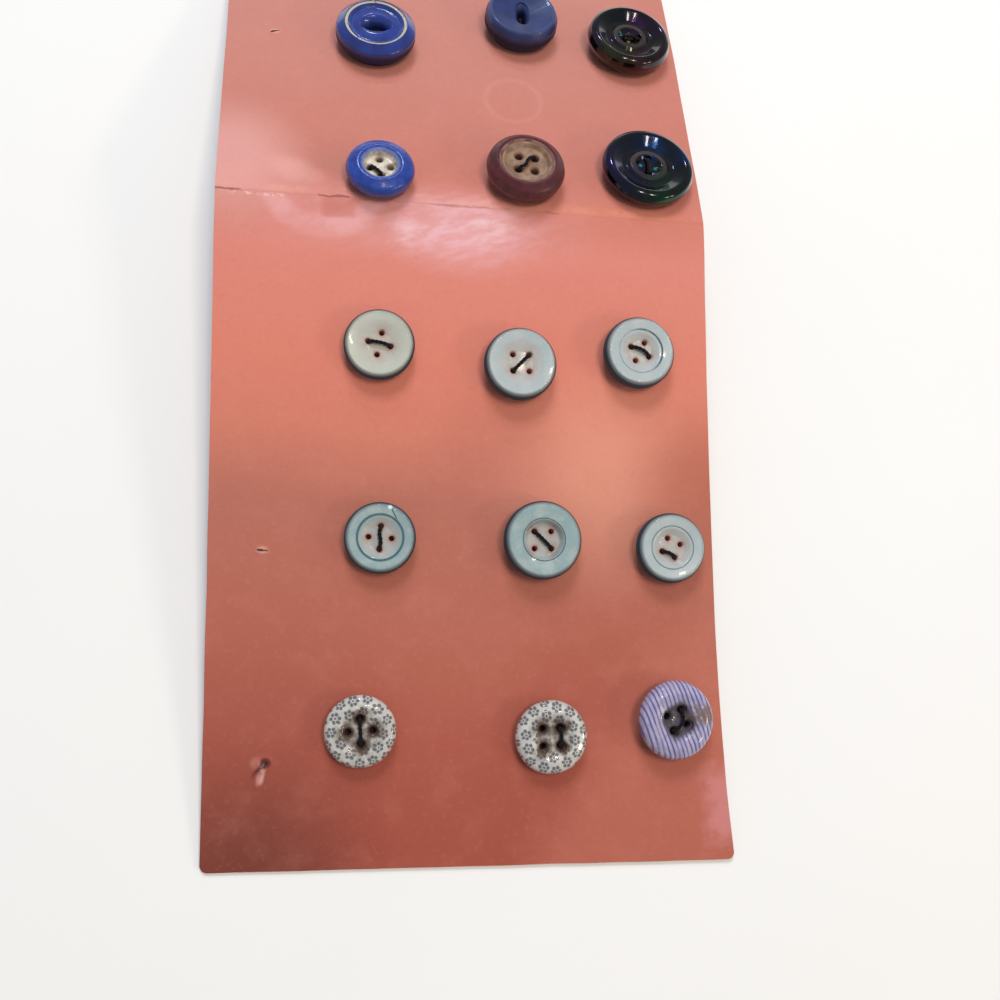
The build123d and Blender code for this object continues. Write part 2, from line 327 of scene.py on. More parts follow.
# The four cut edges, each without the round corners at its ends.
corner_zone = 0.9 * mm
lowest_left = card_y[card_x < card_low.x + 0.1 * mm].min()
highest_right = card_y[card_x > card_high.x - 3 * mm].max()
near_left = (card_x < card_low.x + 0.5 * mm) & (card_y > lowest_left - 0.1 * mm)
near_right = (card_x > card_high.x - 3 * mm) & (card_y > card_low.y + corner_zone)
near_top = (card_x < card_high.x - 2.8 * mm) & (card_y > card_high.y - 2.5 * mm)
inside_x = (card_x > card_low.x + corner_zone) & (card_x < card_high.x - corner_zone)
left_rim = rim_line(near_left & (card_y < card_high.y - corner_zone), 1, 0)
right_rim = rim_line(near_right & (card_y < highest_right - corner_zone), 1, 0)
bottom_rim = rim_line(inside_x & (card_y < card_low.y + 2 * mm), 0, 1)
top_rim = rim_line(inside_x & near_top, 0, 1)


def crease_y(x):
    """Where the two panels meet, in metres."""
    lower_slope = lower_panel.normal.y / lower_panel.normal.z
    upper_slope = upper_panel.normal.y / upper_panel.normal.z
    gap = upper_panel.height(x, 0) - lower_panel.height(x, 0)
    return -gap / (lower_slope - upper_slope)


# ---------------------------------------------------------------- shader helpers
class Wire:
    """A shader socket that works in sums: each operator adds one Math node."""

    def __init__(self, finish, socket):
        self.finish = finish
        self.socket = socket

    def __add__(self, other):
        return self.finish.math("ADD", self, other)

    def __radd__(self, other):
        return self.finish.math("ADD", other, self)

    def __sub__(self, other):
        return self.finish.math("SUBTRACT", self, other)

    def __rsub__(self, other):
        return self.finish.math("SUBTRACT", other, self)

    def __mul__(self, other):
        return self.finish.math("MULTIPLY", self, other)

    def __rmul__(self, other):
        return self.finish.math("MULTIPLY", other, self)

    def __truediv__(self, other):
        return self.finish.math("DIVIDE", self, other)


def linear(red, green, blue):
    """A linear colour from screen values of 0 to 255."""
    def ease(value):
        value = value / 255
        return value / 12.92 if value <= 0.04045 else ((value + 0.055) / 1.055) ** 2.4
    return (ease(red), ease(green), ease(blue), 1.0)


class Finish:
    """One procedural material, with patterns in mm on a place of the caller's choice."""

    def __init__(self, name, **constants):
        self.material = bpy.data.materials.new(name)
        self.material.use_nodes = True
        self.tree = self.material.node_tree
        self.shader = self.tree.nodes["Principled BSDF"]
        self.base = None
        self.set(**constants)

    def feed(self, socket, value):
        if isinstance(value, Wire):
            self.tree.links.new(value.socket, socket)
        else:
            socket.default_value = value

    def node(self, kind, settings, inputs, output=0):
        made = self.tree.nodes.new("ShaderNode" + kind)
        for name, value in settings.items():
            if name == "stops":
                self.set_stops(made.color_ramp, value)
            else:
                setattr(made, name, value)
        for name, value in inputs.items():
            self.feed(made.inputs[name], value)
        return Wire(self, made.outputs[output])

    def set_stops(self, ramp, stops):
        while len(ramp.elements) < len(stops):
            ramp.elements.new(0.5)
        for element, (place, colour) in zip(ramp.elements, stops):
            element.position = place
            element.color = colour

    def set(self, **values):
        for name, value in values.items():
            self.feed(self.shader.inputs[name.replace("_", " ")], value)

    def math(self, operation, *values):
        return self.node("Math", {"operation": operation}, dict(enumerate(values)))

    def place(self, seat=None, turn=0.0):
        """Object coordinates in mm, centred on a seat and turned about its axis where given."""
        point = self.node("TexCoord", {}, {}, "Object")
        where = Matrix.Identity(4)
        if seat:
            where = seat.matrix @ Matrix.Rotation(math.radians(turn), 4, "Z")
        inputs = {
            "Vector": point,
            "Location": where.to_translation(),
            "Rotation": where.to_euler(),
            "Scale": (mm, mm, mm),
        }
        return self.node("Mapping", {"vector_type": "TEXTURE"}, inputs)

    def split(self, vector):
        made = self.tree.nodes.new("ShaderNodeSeparateXYZ")
        self.feed(made.inputs[0], vector)
        return [Wire(self, socket) for socket in made.outputs]

    def join(self, x, y, z=0.0):
        return self.node("CombineXYZ", {}, {0: x, 1: y, 2: z})

    def shift(self, vector, offset):
        return self.node("VectorMath", {"operation": "ADD"}, {0: vector, 1: offset})

    def length(self, vector):
        return self.node("VectorMath", {"operation": "LENGTH"}, {0: vector}, "Value")

    def noise(self, vector, size, detail=3.0, roughness=0.55, distortion=0.0):
        """Cloudy values around 0.5, with features of the given size in mm."""
        inputs = {
            "Vector": vector,
            "Scale": 1 / size,
            "Detail": detail,
            "Roughness": roughness,
            "Distortion": distortion,
        }
        return self.node("TexNoise", {}, inputs, "Fac")

    def fade(self, value, start, end):
        """0 at start, 1 at end, eased and clamped."""
        inputs = {"Value": value, "From Min": start, "From Max": end, "To Min": 0.0, "To Max": 1.0}
        return self.node("MapRange", {"interpolation_type": "SMOOTHSTEP"}, inputs)

    def band(self, value, middle, width, soft):
        """1 within a band around the middle, fading out over its soft edge."""
        off = self.math("ABSOLUTE", value - middle)
        return self.fade(off, width / 2 + soft, width / 2)

    def spot(self, x, y, centre_x, centre_y, reach, soft):
        """1 inside a round patch, 0 outside."""
        away = self.length(self.shift(self.join(x, y), (-centre_x, -centre_y, 0)))
        return self.fade(away, reach + soft, reach)

    def tint(self, factor, first, second):
        """Two colours mixed; each is a tuple of screen values, a linear list or a wire."""
        settings = {"data_type": "RGBA", "blend_type": "MIX", "clamp_factor": True}
        pair = [linear(*colour) if isinstance(colour, tuple) else colour for colour in (first, second)]
        return self.node("Mix", settings, {0: factor, 6: pair[0], 7: pair[1]}, 2)

    def wash(self, factor, colour):
        """A colour laid over the base."""
        self.base = self.tint(factor, self.base, colour)

    def largest(self, *values):
        result = values[0]
        for value in values[1:]:
            result = self.math("MAXIMUM", result, value)
        return result

    def bump(self, height, strength=1.0):
        """Relief from a height in mm."""
        inputs = {"Height": height * mm, "Distance": 1.0, "Strength": strength}
        return self.node("Bump", {}, inputs)


# ---------------------------------------------------------------- camera and light
cool = (0.84, 0.92, 1.0)
warm = (1.0, 0.86, 0.66)
# Broad soft lamps give the shading; small ones are the glints seen in the glazes. Each has its direction
# from the card's middle, its distance and size in metres, its power and colour, and whether it is mirrored.
lamps = [
    ("window", (-0.12, 0.80, 1.0), 0.9, (0.34, 0.24), 4.0, cool, False),
    ("overhead", (0.22, -0.05, 1.0), 0.9, (0.22, 0.22), 2.6, (1.0, 0.88, 0.74), False),
    ("far_glint", (-0.05, 0.84, 0.60), 0.9, (0.09, 0.05), 0.7, (0.75, 0.9, 1.0), True),
    ("ceiling_glint", (0.10, 0.17, 0.97), 0.8, (0.045, 0.045), 0.2, warm, True),
    ("ceiling_glint_too", (0.30, 0.11, 0.95), 0.8, (0.045, 0.045), 0.2, warm, True),
    ("right_glint", (0.95, -0.30, 0.60), 0.8, (0.08, 0.08), 0.5, warm, True),
    ("right_glint_too", (0.80, -0.52, 0.60), 0.8, (0.08, 0.08), 0.5, warm, True),
]


def make_camera():
    data = bpy.data.cameras.new("camera")
    data.sensor_width = 36.0
    data.lens = 37.81
    data.clip_start = 0.01
    camera = bpy.data.objects.new("camera", data)
    camera.location = Vector((-21.11, -66.77, 171.52)) * mm
    camera.rotation_euler = [math.radians(angle) for angle in (13.966, -8.392, -1.672)]
    bpy.context.scene.collection.objects.link(camera)
    bpy.context.scene.camera = camera


def light_scene():
    world = bpy.data.worlds.new("studio")
    world.use_nodes = True
    background = world.node_tree.nodes["Background"]
    background.inputs["Color"].default_value = (0.93, 0.95, 1.0, 1.0)
    background.inputs["Strength"].default_value = 0.30
    bpy.context.scene.world = world
    bpy.context.scene.view_settings.view_transform = "Standard"
    for name, towards, distance, size, power, colour, mirrored in lamps:
        data = bpy.data.lights.new(name, "AREA")
        data.shape = "RECTANGLE"
        data.size, data.size_y = size
        data.energy = power
        data.color = colour
        light = bpy.data.objects.new(name, data)
        direction = Vector(towards).normalized()
        light.location = direction * distance
        light.rotation_euler = direction.to_track_quat("Z", "Y").to_euler()
        light.visible_glossy = mirrored
        bpy.context.scene.collection.objects.link(light)


def make_floor():
    deselect()
    bpy.ops.mesh.primitive_plane_add(size=3.0)
    floor = name_it(bpy.context.object, "floor")
    finish = Finish("pale_floor", Roughness=0.9, Specular_IOR_Level=0.2)
    cloud = finish.noise(finish.place(), 60.0)
    finish.set(Base_Color=finish.tint(cloud, (241, 241, 241), (245, 245, 245)))
    floor.data.materials.append(finish.material)


# ---------------------------------------------------------------- the card
card_thickness = 0.5
card_wide = 84
card_long = 168
corner_radius = 1.1
edge_waver = 0.16
crease_softness_left = 0.05  # how far the fold is eased, in mm of height
crease_softness_middle = 0.22


def card_height(x, y):
    """The card's face, in metres, from its place in plan."""
    low = lower_panel.height(x, y)
    high = upper_panel.height(x, y)
    share = min(1.0, max(0.0, (x / mm + 36) / 22))
    ease = (crease_softness_left + (crease_softness_middle - crease_softness_left) * share) * mm
    gap = low - high
    if abs(gap) > 12 * ease:
        return min(low, high)
    return min(low, high) - ease * math.log1p(math.exp(-abs(gap) / ease))


def panel_place(x, up, panel):
    """A point in plan from x and the distance up the lower panel or past the crease, both in mm."""
    if panel == "lower":
        start = np.interp(x * mm, *bottom_rim)
        return Vector((x * mm, start + up * mm * lower_panel.normal.z))
    return Vector((x * mm, crease_y(x * mm) + up * mm * upper_panel.normal.z))


# Each pin slit has its middle, its length and its turn in degrees.
pin_slits = [(panel_place(-33.5, 37.5, "upper"), 1.8, 20.0), (panel_place(-33.4, 48.7, "lower"), 1.8, -5.0)]
torn_at = panel_place(-32.65, 16.0, "lower")
torn_outline = [(-1.35, -1.25), (-0.7, -0.85), (-0.1, -0.4), (0.3, -0.2), (0.45, 0.05), (0.4, 0.35),
                (0.15, 0.45), (-0.1, 0.35), (-0.22, 0.05), (-0.4, -0.35), (-0.85, -0.8)]


def spaced(count, length, dense=()):
    """Shares of a length, closer together at both ends and around the dense places."""
    fine = np.linspace(0, length, 4000)
    density = np.ones_like(fine)
    for middle, reach, gain in ((0, 1.5, 2.5), (length, 1.5, 2.5), *dense):
        density += gain * np.exp(-((fine - middle) / reach) ** 2)
    total = np.concatenate(([0], np.cumsum((density[1:] + density[:-1]) / 2)))
    return np.interp(np.linspace(0, total[-1], count), total, fine) / length


def round_corner(out_x, out_y, reach):
    """Shift of a point near a square corner onto a round one; distances are inwards."""
    if out_x >= reach or out_y >= reach:
        return 0.0, 0.0
    x = 1 - out_x / reach
    y = 1 - out_y / reach
    round_x = x * math.sqrt(1 - y * y / 2)
    round_y = y * math.sqrt(1 - x * x / 2)
    return (x - round_x) * reach, (y - round_y) * reach


def stillness(x, y):
    """0 near a button or an edge that touches the table, 1 where the card may ripple."""
    still = 1.0
    for seat in seats.values():
        away = math.hypot(x - seat.foot.x, y - seat.foot.y) / mm - seat.radius
        still *= min(1.0, max(0.0, away / 7))
    for edge in (card_low.y, card_high.y):
        still *= min(1.0, abs(y - edge) / (9 * mm))
    return still


def worn(*at):
    """How far a cut edge is worn back, in metres."""
    return edge_waver * mm * (0.5 + 0.5 * noise.noise(Vector(at)))


def left_edge(y):
    return np.interp(y, *left_rim) + worn(0, y / (9 * mm), 1)


def right_edge(y):
    return np.interp(y, *right_rim) - worn(5, y / (11 * mm), 2)


def card_point(u, v):
    """A point of the card in plan from its shares of the width and the length."""
    y = card_low.y + v * (card_high.y - card_low.y)
    x = left_edge(y) + u * (right_edge(y) - left_edge(y))
    bottom = np.interp(x, *bottom_rim) + worn(x / (8 * mm), 3, 3)
    top = np.interp(x, *top_rim) - worn(x / (8 * mm), 7, 4)
    y = bottom + v * (top - bottom)
    x = left_edge(y) + u * (right_edge(y) - left_edge(y))
    in_x = x - np.interp(y, *left_rim) if u < 0.5 else np.interp(y, *right_rim) - x
    in_y = y - bottom if v < 0.5 else top - y
    in_x = max(0, in_x - edge_waver * mm / 2)
    shift_x, shift_y = round_corner(in_x, max(0, in_y), corner_radius * mm)
    return x + (shift_x if u < 0.5 else -shift_x), y + (shift_y if v < 0.5 else -shift_y), 0


def make_card():
    rows = 250
    columns = 118
    deselect()
    bpy.ops.mesh.primitive_grid_add(x_subdivisions=columns - 1, y_subdivisions=rows - 1, size=1.0)
    card = name_it(bpy.context.object, "creased_card")
    crease_at = (crease_y(0) - card_low.y) / mm
    across = spaced(columns, card_wide)
    along = spaced(rows, card_long, [(crease_at, 2.5, 2.0)])
    for vertex in card.data.vertices:
        column = round((vertex.co.x + 0.5) * (columns - 1))
        row = round((vertex.co.y + 0.5) * (rows - 1))
        vertex.co = card_point(across[column], along[row])
    edit(card)
    bpy.ops.mesh.select_mode(type="FACE")
    for place, reach in [(torn_at, 3.2), *[(slit[0], 2.2) for slit in pin_slits]]:
        bpy.ops.mesh.select_all(action="DESELECT")
        shape = bmesh.from_edit_mesh(card.data)
        for face in shape.faces:
            face.select = (face.calc_center_median().xy - place).length < reach * mm
        shape.select_flush(True)
        bpy.ops.mesh.subdivide(number_cuts=4, quadcorner="INNERVERT")
    leave_edit()
    for vertex in card.data.vertices:
        x, y = vertex.co.xy
        ripple = 0.5 + 0.5 * noise.noise(Vector((x / (26 * mm), y / (34 * mm), 5)))
        vertex.co.z = card_height(x, y) - 0.3 * mm * ripple * stillness(x, y)
        vertex.co.z += lip_height(vertex.co.xy) * mm
    if card.data.polygons[0].normal.z < 0:
        card.data.flip_normals()
    apply_modifier(card, "SOLIDIFY", thickness=card_thickness * mm, offset=-1.0)
    for vertex in card.data.vertices:
        vertex.co.z = max(vertex.co.z, card_low.z)
    open_holes(card)
    stand_in(card, card_finish(), "card", 50)


def lip_height(place):
    """Raised paper around the pin slits and the torn hole, in mm."""
    height = 0.0
    for middle, length, turn in pin_slits:
        way = (place - middle) / mm
        if way.length > 3:
            continue
        run, off = Matrix.Rotation(-math.radians(turn), 2) @ way
        height += 0.16 * math.exp(-(run / (length * 0.55)) ** 4) * math.exp(-((abs(off) - 0.3) / 0.28) ** 2)
    way = (place - torn_at) / mm
    if way.length < 4:
        around = math.atan2(way.y, way.x)
        rim = 0.85 + 0.15 * math.sin(3 * around + 1)
        rise = 0.16 + 0.24 * max(0, math.cos(around + math.radians(115)))
        height += rise * math.exp(-((way.length - rim) / 0.5) ** 2)
        flap = way - Vector((-0.2, -1.5))
        height += 0.2 * math.exp(-(flap.x / 0.7) ** 2 - (flap.y / 1.0) ** 2)
    return height


def flat_cutter(outline, place, depth=3.0):
    """An upright prism from outline points in mm, at a place in plan."""
    deselect()
    bpy.ops.mesh.primitive_circle_add(vertices=len(outline), radius=mm, fill_type="NGON")
    cutter = bpy.context.object
    level = card_height(place.x, place.y) - depth / 2 * mm
    for vertex, (x, y) in zip(cutter.data.vertices, outline):
        vertex.co = (place.x + x * mm, place.y + y * mm, level)
    edit(cutter)
    bpy.ops.mesh.select_all(action="SELECT")
    bpy.ops.mesh.extrude_region_move(TRANSFORM_OT_translate={"value": (0, 0, depth * mm)})
    leave_edit()
    face_outwards(cutter)
    return cutter


def open_holes(card):
    """The torn hole and the two pin slits go right through the card."""
    cutters = []
    for middle, length, turn in pin_slits:
        spin = Matrix.Rotation(math.radians(turn), 2)
        outline = []
        for step in range(14):
            around = math.tau * step / 14
            off = 0.13 * math.sin(around) * (1.3 + 0.5 * math.cos(3 * around))
            outline.append(spin @ Vector((length / 2 * math.cos(around), off)))
        cutters.append(flat_cutter(outline, middle))
    cutters.append(flat_cutter(torn_outline, torn_at))
    cut(card, joined(cutters, "card_cutter"), "MANIFOLD", 0.004)


# The card's tone from its bottom edge to its top, darker towards the bottom mostly with the lamps' falloff
# painted in as shade: distance past the crease in mm, and colour.
card_tones = [(-104, (163, 80, 65)), (-88, (173, 90, 74)), (-70, (183, 105, 88)), (-50, (183, 111, 95)),
              (-38, (210, 125, 106)), (-26, (219, 129, 111)), (-8, (219, 134, 121)), (-1, (208, 126, 111)),
              (8, (197, 121, 107)), (30, (199, 129, 117)), (62, (198, 132, 121))]


def card_finish():
    finish = Finish("card_stock", Specular_IOR_Level=0.35)
    fade, band, spot, wash = finish.fade, finish.band, finish.spot, finish.wash
    place = finish.place()
    x, y, _ = finish.split(place)
    crease_run = (crease_y(0.04) - crease_y(-0.04)) / 0.08
    past = y - x * crease_run - crease_y(0) / mm
    grain = finish.noise(place, 0.45, detail=2.0)
    speckle = finish.noise(place, 0.9, roughness=0.7)
    mottle = finish.noise(place, 5.0, detail=4.0)
    cloud = finish.noise(place, 28.0, detail=2.0)
    # The tones run up the card, with their painted shade towards the bottom.
    first, last = card_tones[0][0], card_tones[-1][0]
    stops = [((at - first) / (last - first), linear(*tone)) for at, tone in card_tones]
    down = (past + (cloud - 0.5) * 6.0 - first) / (last - first)
    finish.base = finish.node("ValToRGB", {"stops": stops}, {0: down})

    def patch(at_x, at_y, reach, soft, strength, colour):
        wash(spot(x, y, at_x, at_y, reach, soft) * strength, colour)

    # Painted light and shade, with some soiling: a dark lower left corner in painted shadow, a dark slanting
    # wedge of painted shade before a lighter lower right, and a painted warm highlight at the middle right.
    patch(-36, -86, 3, 24, 0.9, (112, 55, 46))
    patch(-36, -66, 4, 30, 0.25, (140, 74, 62))
    beyond = (x - 27.0) * 0.83 - (y + 49.0) * 0.56 + (mottle - 0.5) * 1.5
    wash(fade(beyond, -1.0, 9.0) * fade(y, -44.0, -58.0) * 0.45, (200, 120, 102))
    wash(band(beyond, -6.0, 5.0, 11.0) * fade(y, -38.0, -54.0) * 0.35, (166, 84, 68))
    patch(21, -22, 2, 22, 0.6, (232, 158, 136))
    patch(4, -18, 2, 13, 0.35, (184, 108, 94))
    patch(39, -24, 3, 14, 0.6, (174, 96, 76))
    wash(fade(x, 24.0, 42.0) * fade(past, 0.0, 20.0) * 0.3, (196, 108, 92))
    patch(-40, 30, 3, 13, 0.6, (230, 172, 168))
    wash(spot(x * 0.7 + past * 0.4, past, -18.4, 5.0, 0.8, 3.4) * 0.5, (232, 172, 166))
    # A pale crescent of painted sheen at the fold's left, broken by the mottle.
    crescent = band(finish.length(finish.join(x + 24.5, past - 4.5)), 9.6, 1.2, 2.2)
    crescent = crescent * fade(past, 0.2, -1.0) * fade(x, -40.0, -34.0)
    wash(crescent * (0.3 + fade(mottle, 0.35, 0.6) * 0.35), (234, 174, 176))
    wash(spot(x, y, -23, 27, 1, 7) * fade(mottle, 0.42, 0.6) * 0.5, (178, 122, 108))
    wash(fade(mottle, 0.45, 0.75) * 0.08, (228, 150, 134))
    wash(fade(speckle, 0.52, 0.78) * 0.07, (240, 178, 160))
    wash(fade(speckle, 0.48, 0.25) * 0.10, (160, 84, 72))
    # A painted sheen of lamp light just under the fold, streaked down to the right, where the paper is also a
    # little glossier.
    strokes = finish.noise(finish.join(x * 0.4 + y * 0.5, y * 1.3 - x * 0.45), 2.0)
    stroked = fade(strokes, 0.35, 0.72)
    reach = fade(x, -46.0, -12.0) * fade(x, 26.0, -2.0) * band(past, -2.6, 1.0, 8.0)
    wash(reach * (0.3 + stroked * 0.3), (234, 172, 176))
    bright = spot(x * 0.55, past, -0.9, -4.6, 0.5, 8.5)
    wash(bright * (0.35 + stroked * 0.4), (241, 192, 202))
    creamy = spot(x, past * 1.6, -10.5, -8.5, 1.0, 4.5)
    creamy = finish.largest(creamy, spot(x, past * 1.6, 3.0, -5.5, 1.0, 4.5))
    wash(creamy * (0.12 + stroked * 0.3), (246, 208, 214))
    # The fold itself: a broken crack with painted shade along it and on the bent flap below, pale flecks at
    # the left, a soft paler lip above.
    jag = past + (finish.noise(place, 1.6) - 0.5) * 0.9
    cracked = finish.largest(band(x, -40.3, 4.0, 1.0), band(x, -22.8, 4.6, 0.5),
                             band(x, -2.0, 8.0, 2.0) * 0.45, band(x, 13.5, 1.0, 1.0) * 0.6)
    wash(band(jag, 0.0, 0.12, 0.22) * (0.12 + cracked * 0.6), (132, 72, 58))
    wash(band(x, -22.0, 4.0, 1.4) * band(jag, -1.8, 2.6, 0.7) * 0.5, (196, 112, 98))
    flecks = band(x, -35.0, 6.0, 2.0) * band(past, -0.5, 0.25, 0.3)
    wash(flecks * fade(speckle, 0.46, 0.6) * 0.7, (244, 200, 190))
    wash(band(past, 0.9, 0.5, 0.9) * fade(mottle, 0.4, 0.62) * 0.4, (232, 166, 152))
    wash(band(x, 20.0, 24.0, 6.0) * band(past, 0.9, 1.2, 0.8) * 0.4, (214, 128, 100))
    # A ragged painted reflection of the lamps beside the lower right corner.
    ragged = (finish.noise(place, 2.4, detail=4.0) - 0.5) * 6.0
    wash(fade(x + ragged, 35.4, 39.4) * band(y + ragged, -75.5, 7.0, 4.5) * 0.6, (216, 142, 144))
    # A pale ring pressed into the upper panel.
    ring_y = crease_y(8.6 * mm) / mm + 24.9
    ring = band(finish.length(finish.join(x - 8.6, y - ring_y)), 5.0, 0.3, 0.6)
    wash(ring * 0.07, (240, 190, 178))
    # The torn hole's lifted flap is pale, and its mouth and the rent beside it are painted dark as shade.
    torn_x = x - torn_at.x / mm
    torn_y = y - torn_at.y / mm
    wash(spot(torn_x, torn_y, -1.2, 0.2, 0.3, 1.0) * 0.4, (206, 142, 130))
    wash(spot(torn_x * 1.6 - torn_y * 0.4, torn_y * 0.7, -0.2, -1.35, 0.35, 0.8) * 0.6, (220, 160, 150))
    fold = band(torn_x - torn_y * 0.25, 0.25, 0.1, 0.45)
    wash(fold * band(torn_y, -1.9, 1.2, 0.9) * 0.45, (236, 190, 180))
    wash(spot(torn_x, torn_y, 0.2, 0.15, 0.55, 0.5) * 0.9, (96, 44, 44))
    rent = band(torn_x * 0.72 - torn_y * 0.69, -0.1, 0.2, 0.3)
    wash(rent * band(torn_x, -1.0, 1.2, 0.5) * 0.7, (104, 50, 48))
    for slit in pin_slits:
        at = slit[0] / mm
        wash(spot(x * 0.7, y, at.x * 0.7, at.y, 0.15, 0.75) * 0.65, (232, 168, 156))
    # Painted shade on the card under the stained buttons, where it shows through their holes.
    for name in ("calico_left", "calico_middle", "blue_striped"):
        foot = seats[name].foot / mm
        patch(foot.x, foot.y, 2.6, 1.2, 0.85, (52, 30, 26))
    # The cut edges, which face sideways, are darker, and the back is plain.
    facing = finish.split(finish.node("TexCoord", {}, {}, "Normal"))[2]
    wash(fade(finish.math("ABSOLUTE", facing), 0.75, 0.45) * 0.85, (104, 62, 58))
    wash(fade(facing, 0.0, -0.4) * 0.6, (196, 134, 116))
    gloss = finish.noise(place, 9.0)
    relief = grain * 0.03 + speckle * 0.03 + mottle * 0.06 + ring * 0.02
    relief = relief - band(jag, 0.0, 0.1, 0.25) * cracked * 0.12
    finish.set(Base_Color=finish.base, Roughness=0.52 + gloss * 0.14 - bright * 0.12)
    finish.set(Normal=finish.bump(relief, 0.7))
    return finish.material


# ---------------------------------------------------------------- button sections
def flat_floor(level, wide, rings):
    """Section corners of a well's flat floor, outwards from the middle."""
    return [(wide * ring / rings, level, 0) for ring in range(rings)]


def dish_section(seat, well, slope, lip, groove=0.0, groove_width=0.2):
    """A shallow dish with an upright, slightly swelling side."""
    r = seat.radius
    h = seat.height
    inset = 0.6  # where the face turns down into the side
    corners = flat_floor(seat.floor, well - slope, 5)
    corners.append((well - slope, seat.floor, min(1.0, slope * 0.8)))
    corners.append((well, h - lip, min(0.8, slope * 0.6)))
    if groove:
        share = (groove - well) / (r - inset - well)
        level = h - lip * (1 - share)
        half = groove_width / 2
        corners += [(groove - half, level, 0.05), (groove - half * 0.4, level - 0.14, 0.04),
                    (groove + half * 0.4, level - 0.14, 0.04), (groove + half, level + 0.02, 0.05)]
    corners += [(r - inset, h, 0.35), (r - 0.02, h * 0.72, 0.5), (r - 0.02, h * 0.4, 0.6),
                (r - 1.3, 0, 0.35), (0, 0, 0)]
    return rounded(corners)


def china_section(seat, well):
    """A domed ring around a dished well."""
    r = seat.radius
    h = seat.height
    floor = seat.floor - 0.05
    corners = [((well - 1.5) * ring / 4, floor + 0.02 * ring * ring, 0) for ring in range(4)]
    corners += [(well - 1.3, seat.floor, 0.8), (well, h - 0.3, 1.2), (r - 2.0, h, 1.6),
                (r - 0.6, h * 0.86, 1.2), (r, h * 0.5, 0.8), (r - 1.5, 0, 0.6), (0, 0, 0)]
    return rounded(corners, 6)


def ring_section(seat, well, lip, crest, step=0.0, undercut=1.5):
    """A fat rounded rim around a flat-floored well."""
    r = seat.radius
    h = seat.height
    corners = flat_floor(seat.floor, well - 0.6, 5)
    corners += [(well - 0.5, seat.floor, 0.35), (well, h - lip, 0.45)]
    if step:
        corners += [(step - 0.25, h - lip * 0.75, 0.08), (step - 0.05, h - lip * 0.75 + 0.16, 0.08),
                    (step + 0.25, h - lip * 0.4, 0.12)]
    corners += [(r - crest, h, 1.2), (r - 0.35, h * 0.82, 0.9), (r, h * 0.58, 0.6),
                (r - 0.35, h * 0.3, 0.6), (r - undercut, 0, 0.3), (0, 0, 0)]
    return rounded(corners, 6)


def lustre_section(seat, well, lip):
    """A rounded rim, a dipped ring, a raised ring and a small well."""
    r = seat.radius
    h = seat.height
    ring_top = h - lip
    corners = flat_floor(seat.floor, well - 1.9, 4)
    corners += [(well - 1.5, seat.floor, 0.3), (well - 0.95, ring_top, 0.35), (well - 0.1, ring_top, 0.35),
                (well + 0.55, ring_top - 0.42, 0.3), (well + 1.3, ring_top - 0.42, 0.7),
                (r - 1.4, h, 1.0), (r - 0.35, h * 0.86, 0.8), (r, h * 0.55, 0.6), (r - 0.4, h * 0.3, 0.5),
                (r - 1.5, 0, 0.4), (0, 0, 0)]
    return rounded(corners, 6)


def eye_section(seat, face, depth, slope, lip, crest, crown=0.0, gutter=0.0):
    """A rounded rim around a shallow face that carries the eye."""
    r = seat.radius
    h = seat.height
    corners = []
    for ring in range(8):
        share = ring / 8
        corners.append(((face - slope) * share, h - depth + crown * (1 - share * share), 0))
    corners += [(face - slope, h - depth, 0.6), (face, h - lip, 0.3)]
    if gutter:
        brim = h - lip * 0.6
        corners += [(gutter - 0.25, brim, 0.06), (gutter, brim - 0.08, 0.08), (gutter + 0.25, brim, 0.06)]
    corners += [(r - crest, h, 0.5), (r - 0.05, h * 0.74, 0.6), (r, h * 0.4, 0.6),
                (r - 1.3, 0, 0.5), (0, 0, 0)]
    return rounded(corners, 6)


# ---------------------------------------------------------------- holes, eyes and chips
def drill(piece, seat, size, flare):
    """Thread holes with worn, rounded mouths."""
    r = size / 2
    floor = seat.floor
    section = [(0, -1), (r, -1), (r, floor - flare * 1.2), (r + flare * 0.18, floor - flare * 0.6),
               (r + flare * 0.5, floor - flare * 0.18), (r + flare, floor + 0.03),
               (r + flare, floor + 2), (0, floor + 2)]
    master = turned("hole_cutter", section, 28)
    copies = [copy_of(master, Matrix.Translation(hole * mm)) for hole in seat.holes]
    delete(master)
    cut(piece, joined(copies, "hole_cutters"))


def carve_eye(piece, length, width, depth, turn, floor, flare):
    """A long oval recess in the face, wider at its mouth, where the two thread holes start."""
    # Each level has its rise above the face, its share of the oval's size and its growth beyond it.
    levels = [(-depth, 0.62, 0.0), (-depth * 0.55, 0.8, 0.0), (-flare * 0.9, 1.0, 0.0),
              (-flare * 0.35, 1.0, flare * 0.35), (0.03, 1.0, flare), (1.5, 1.0, flare)]
    deselect()
    bpy.ops.mesh.primitive_circle_add(vertices=48, radius=mm, fill_type="NGON")
    cutter = name_it(bpy.context.object, "eye_cutter")
    edit(cutter)
    bpy.ops.mesh.select_mode(type="FACE")
    for _ in levels[1:]:
        bpy.ops.mesh.select_all(action="DESELECT")
        shape = bmesh.from_edit_mesh(cutter.data)
        top = max(shape.faces, key=lambda face: (face.calc_center_median().z, len(face.verts)))
        top.select = True
        bmesh.update_edit_mesh(cutter.data)
        bpy.ops.mesh.extrude_region_move(TRANSFORM_OT_translate={"value": (0, 0, mm)})
    leave_edit()
    for vertex in cutter.data.vertices:
        rise, share, grow = levels[round(vertex.co.z / mm)]
        angle = math.atan2(vertex.co.y, vertex.co.x)
        out_x = (length / 2 * share + grow) * math.cos(angle)
        out_y = (width / 2 * share + grow) * math.sin(angle)
        vertex.co = Vector((out_x, out_y, floor + rise)) * mm
    cutter.data.transform(Matrix.Rotation(math.radians(turn), 4, "Z"))
    face_outwards(cutter)
    cut(piece, cutter)


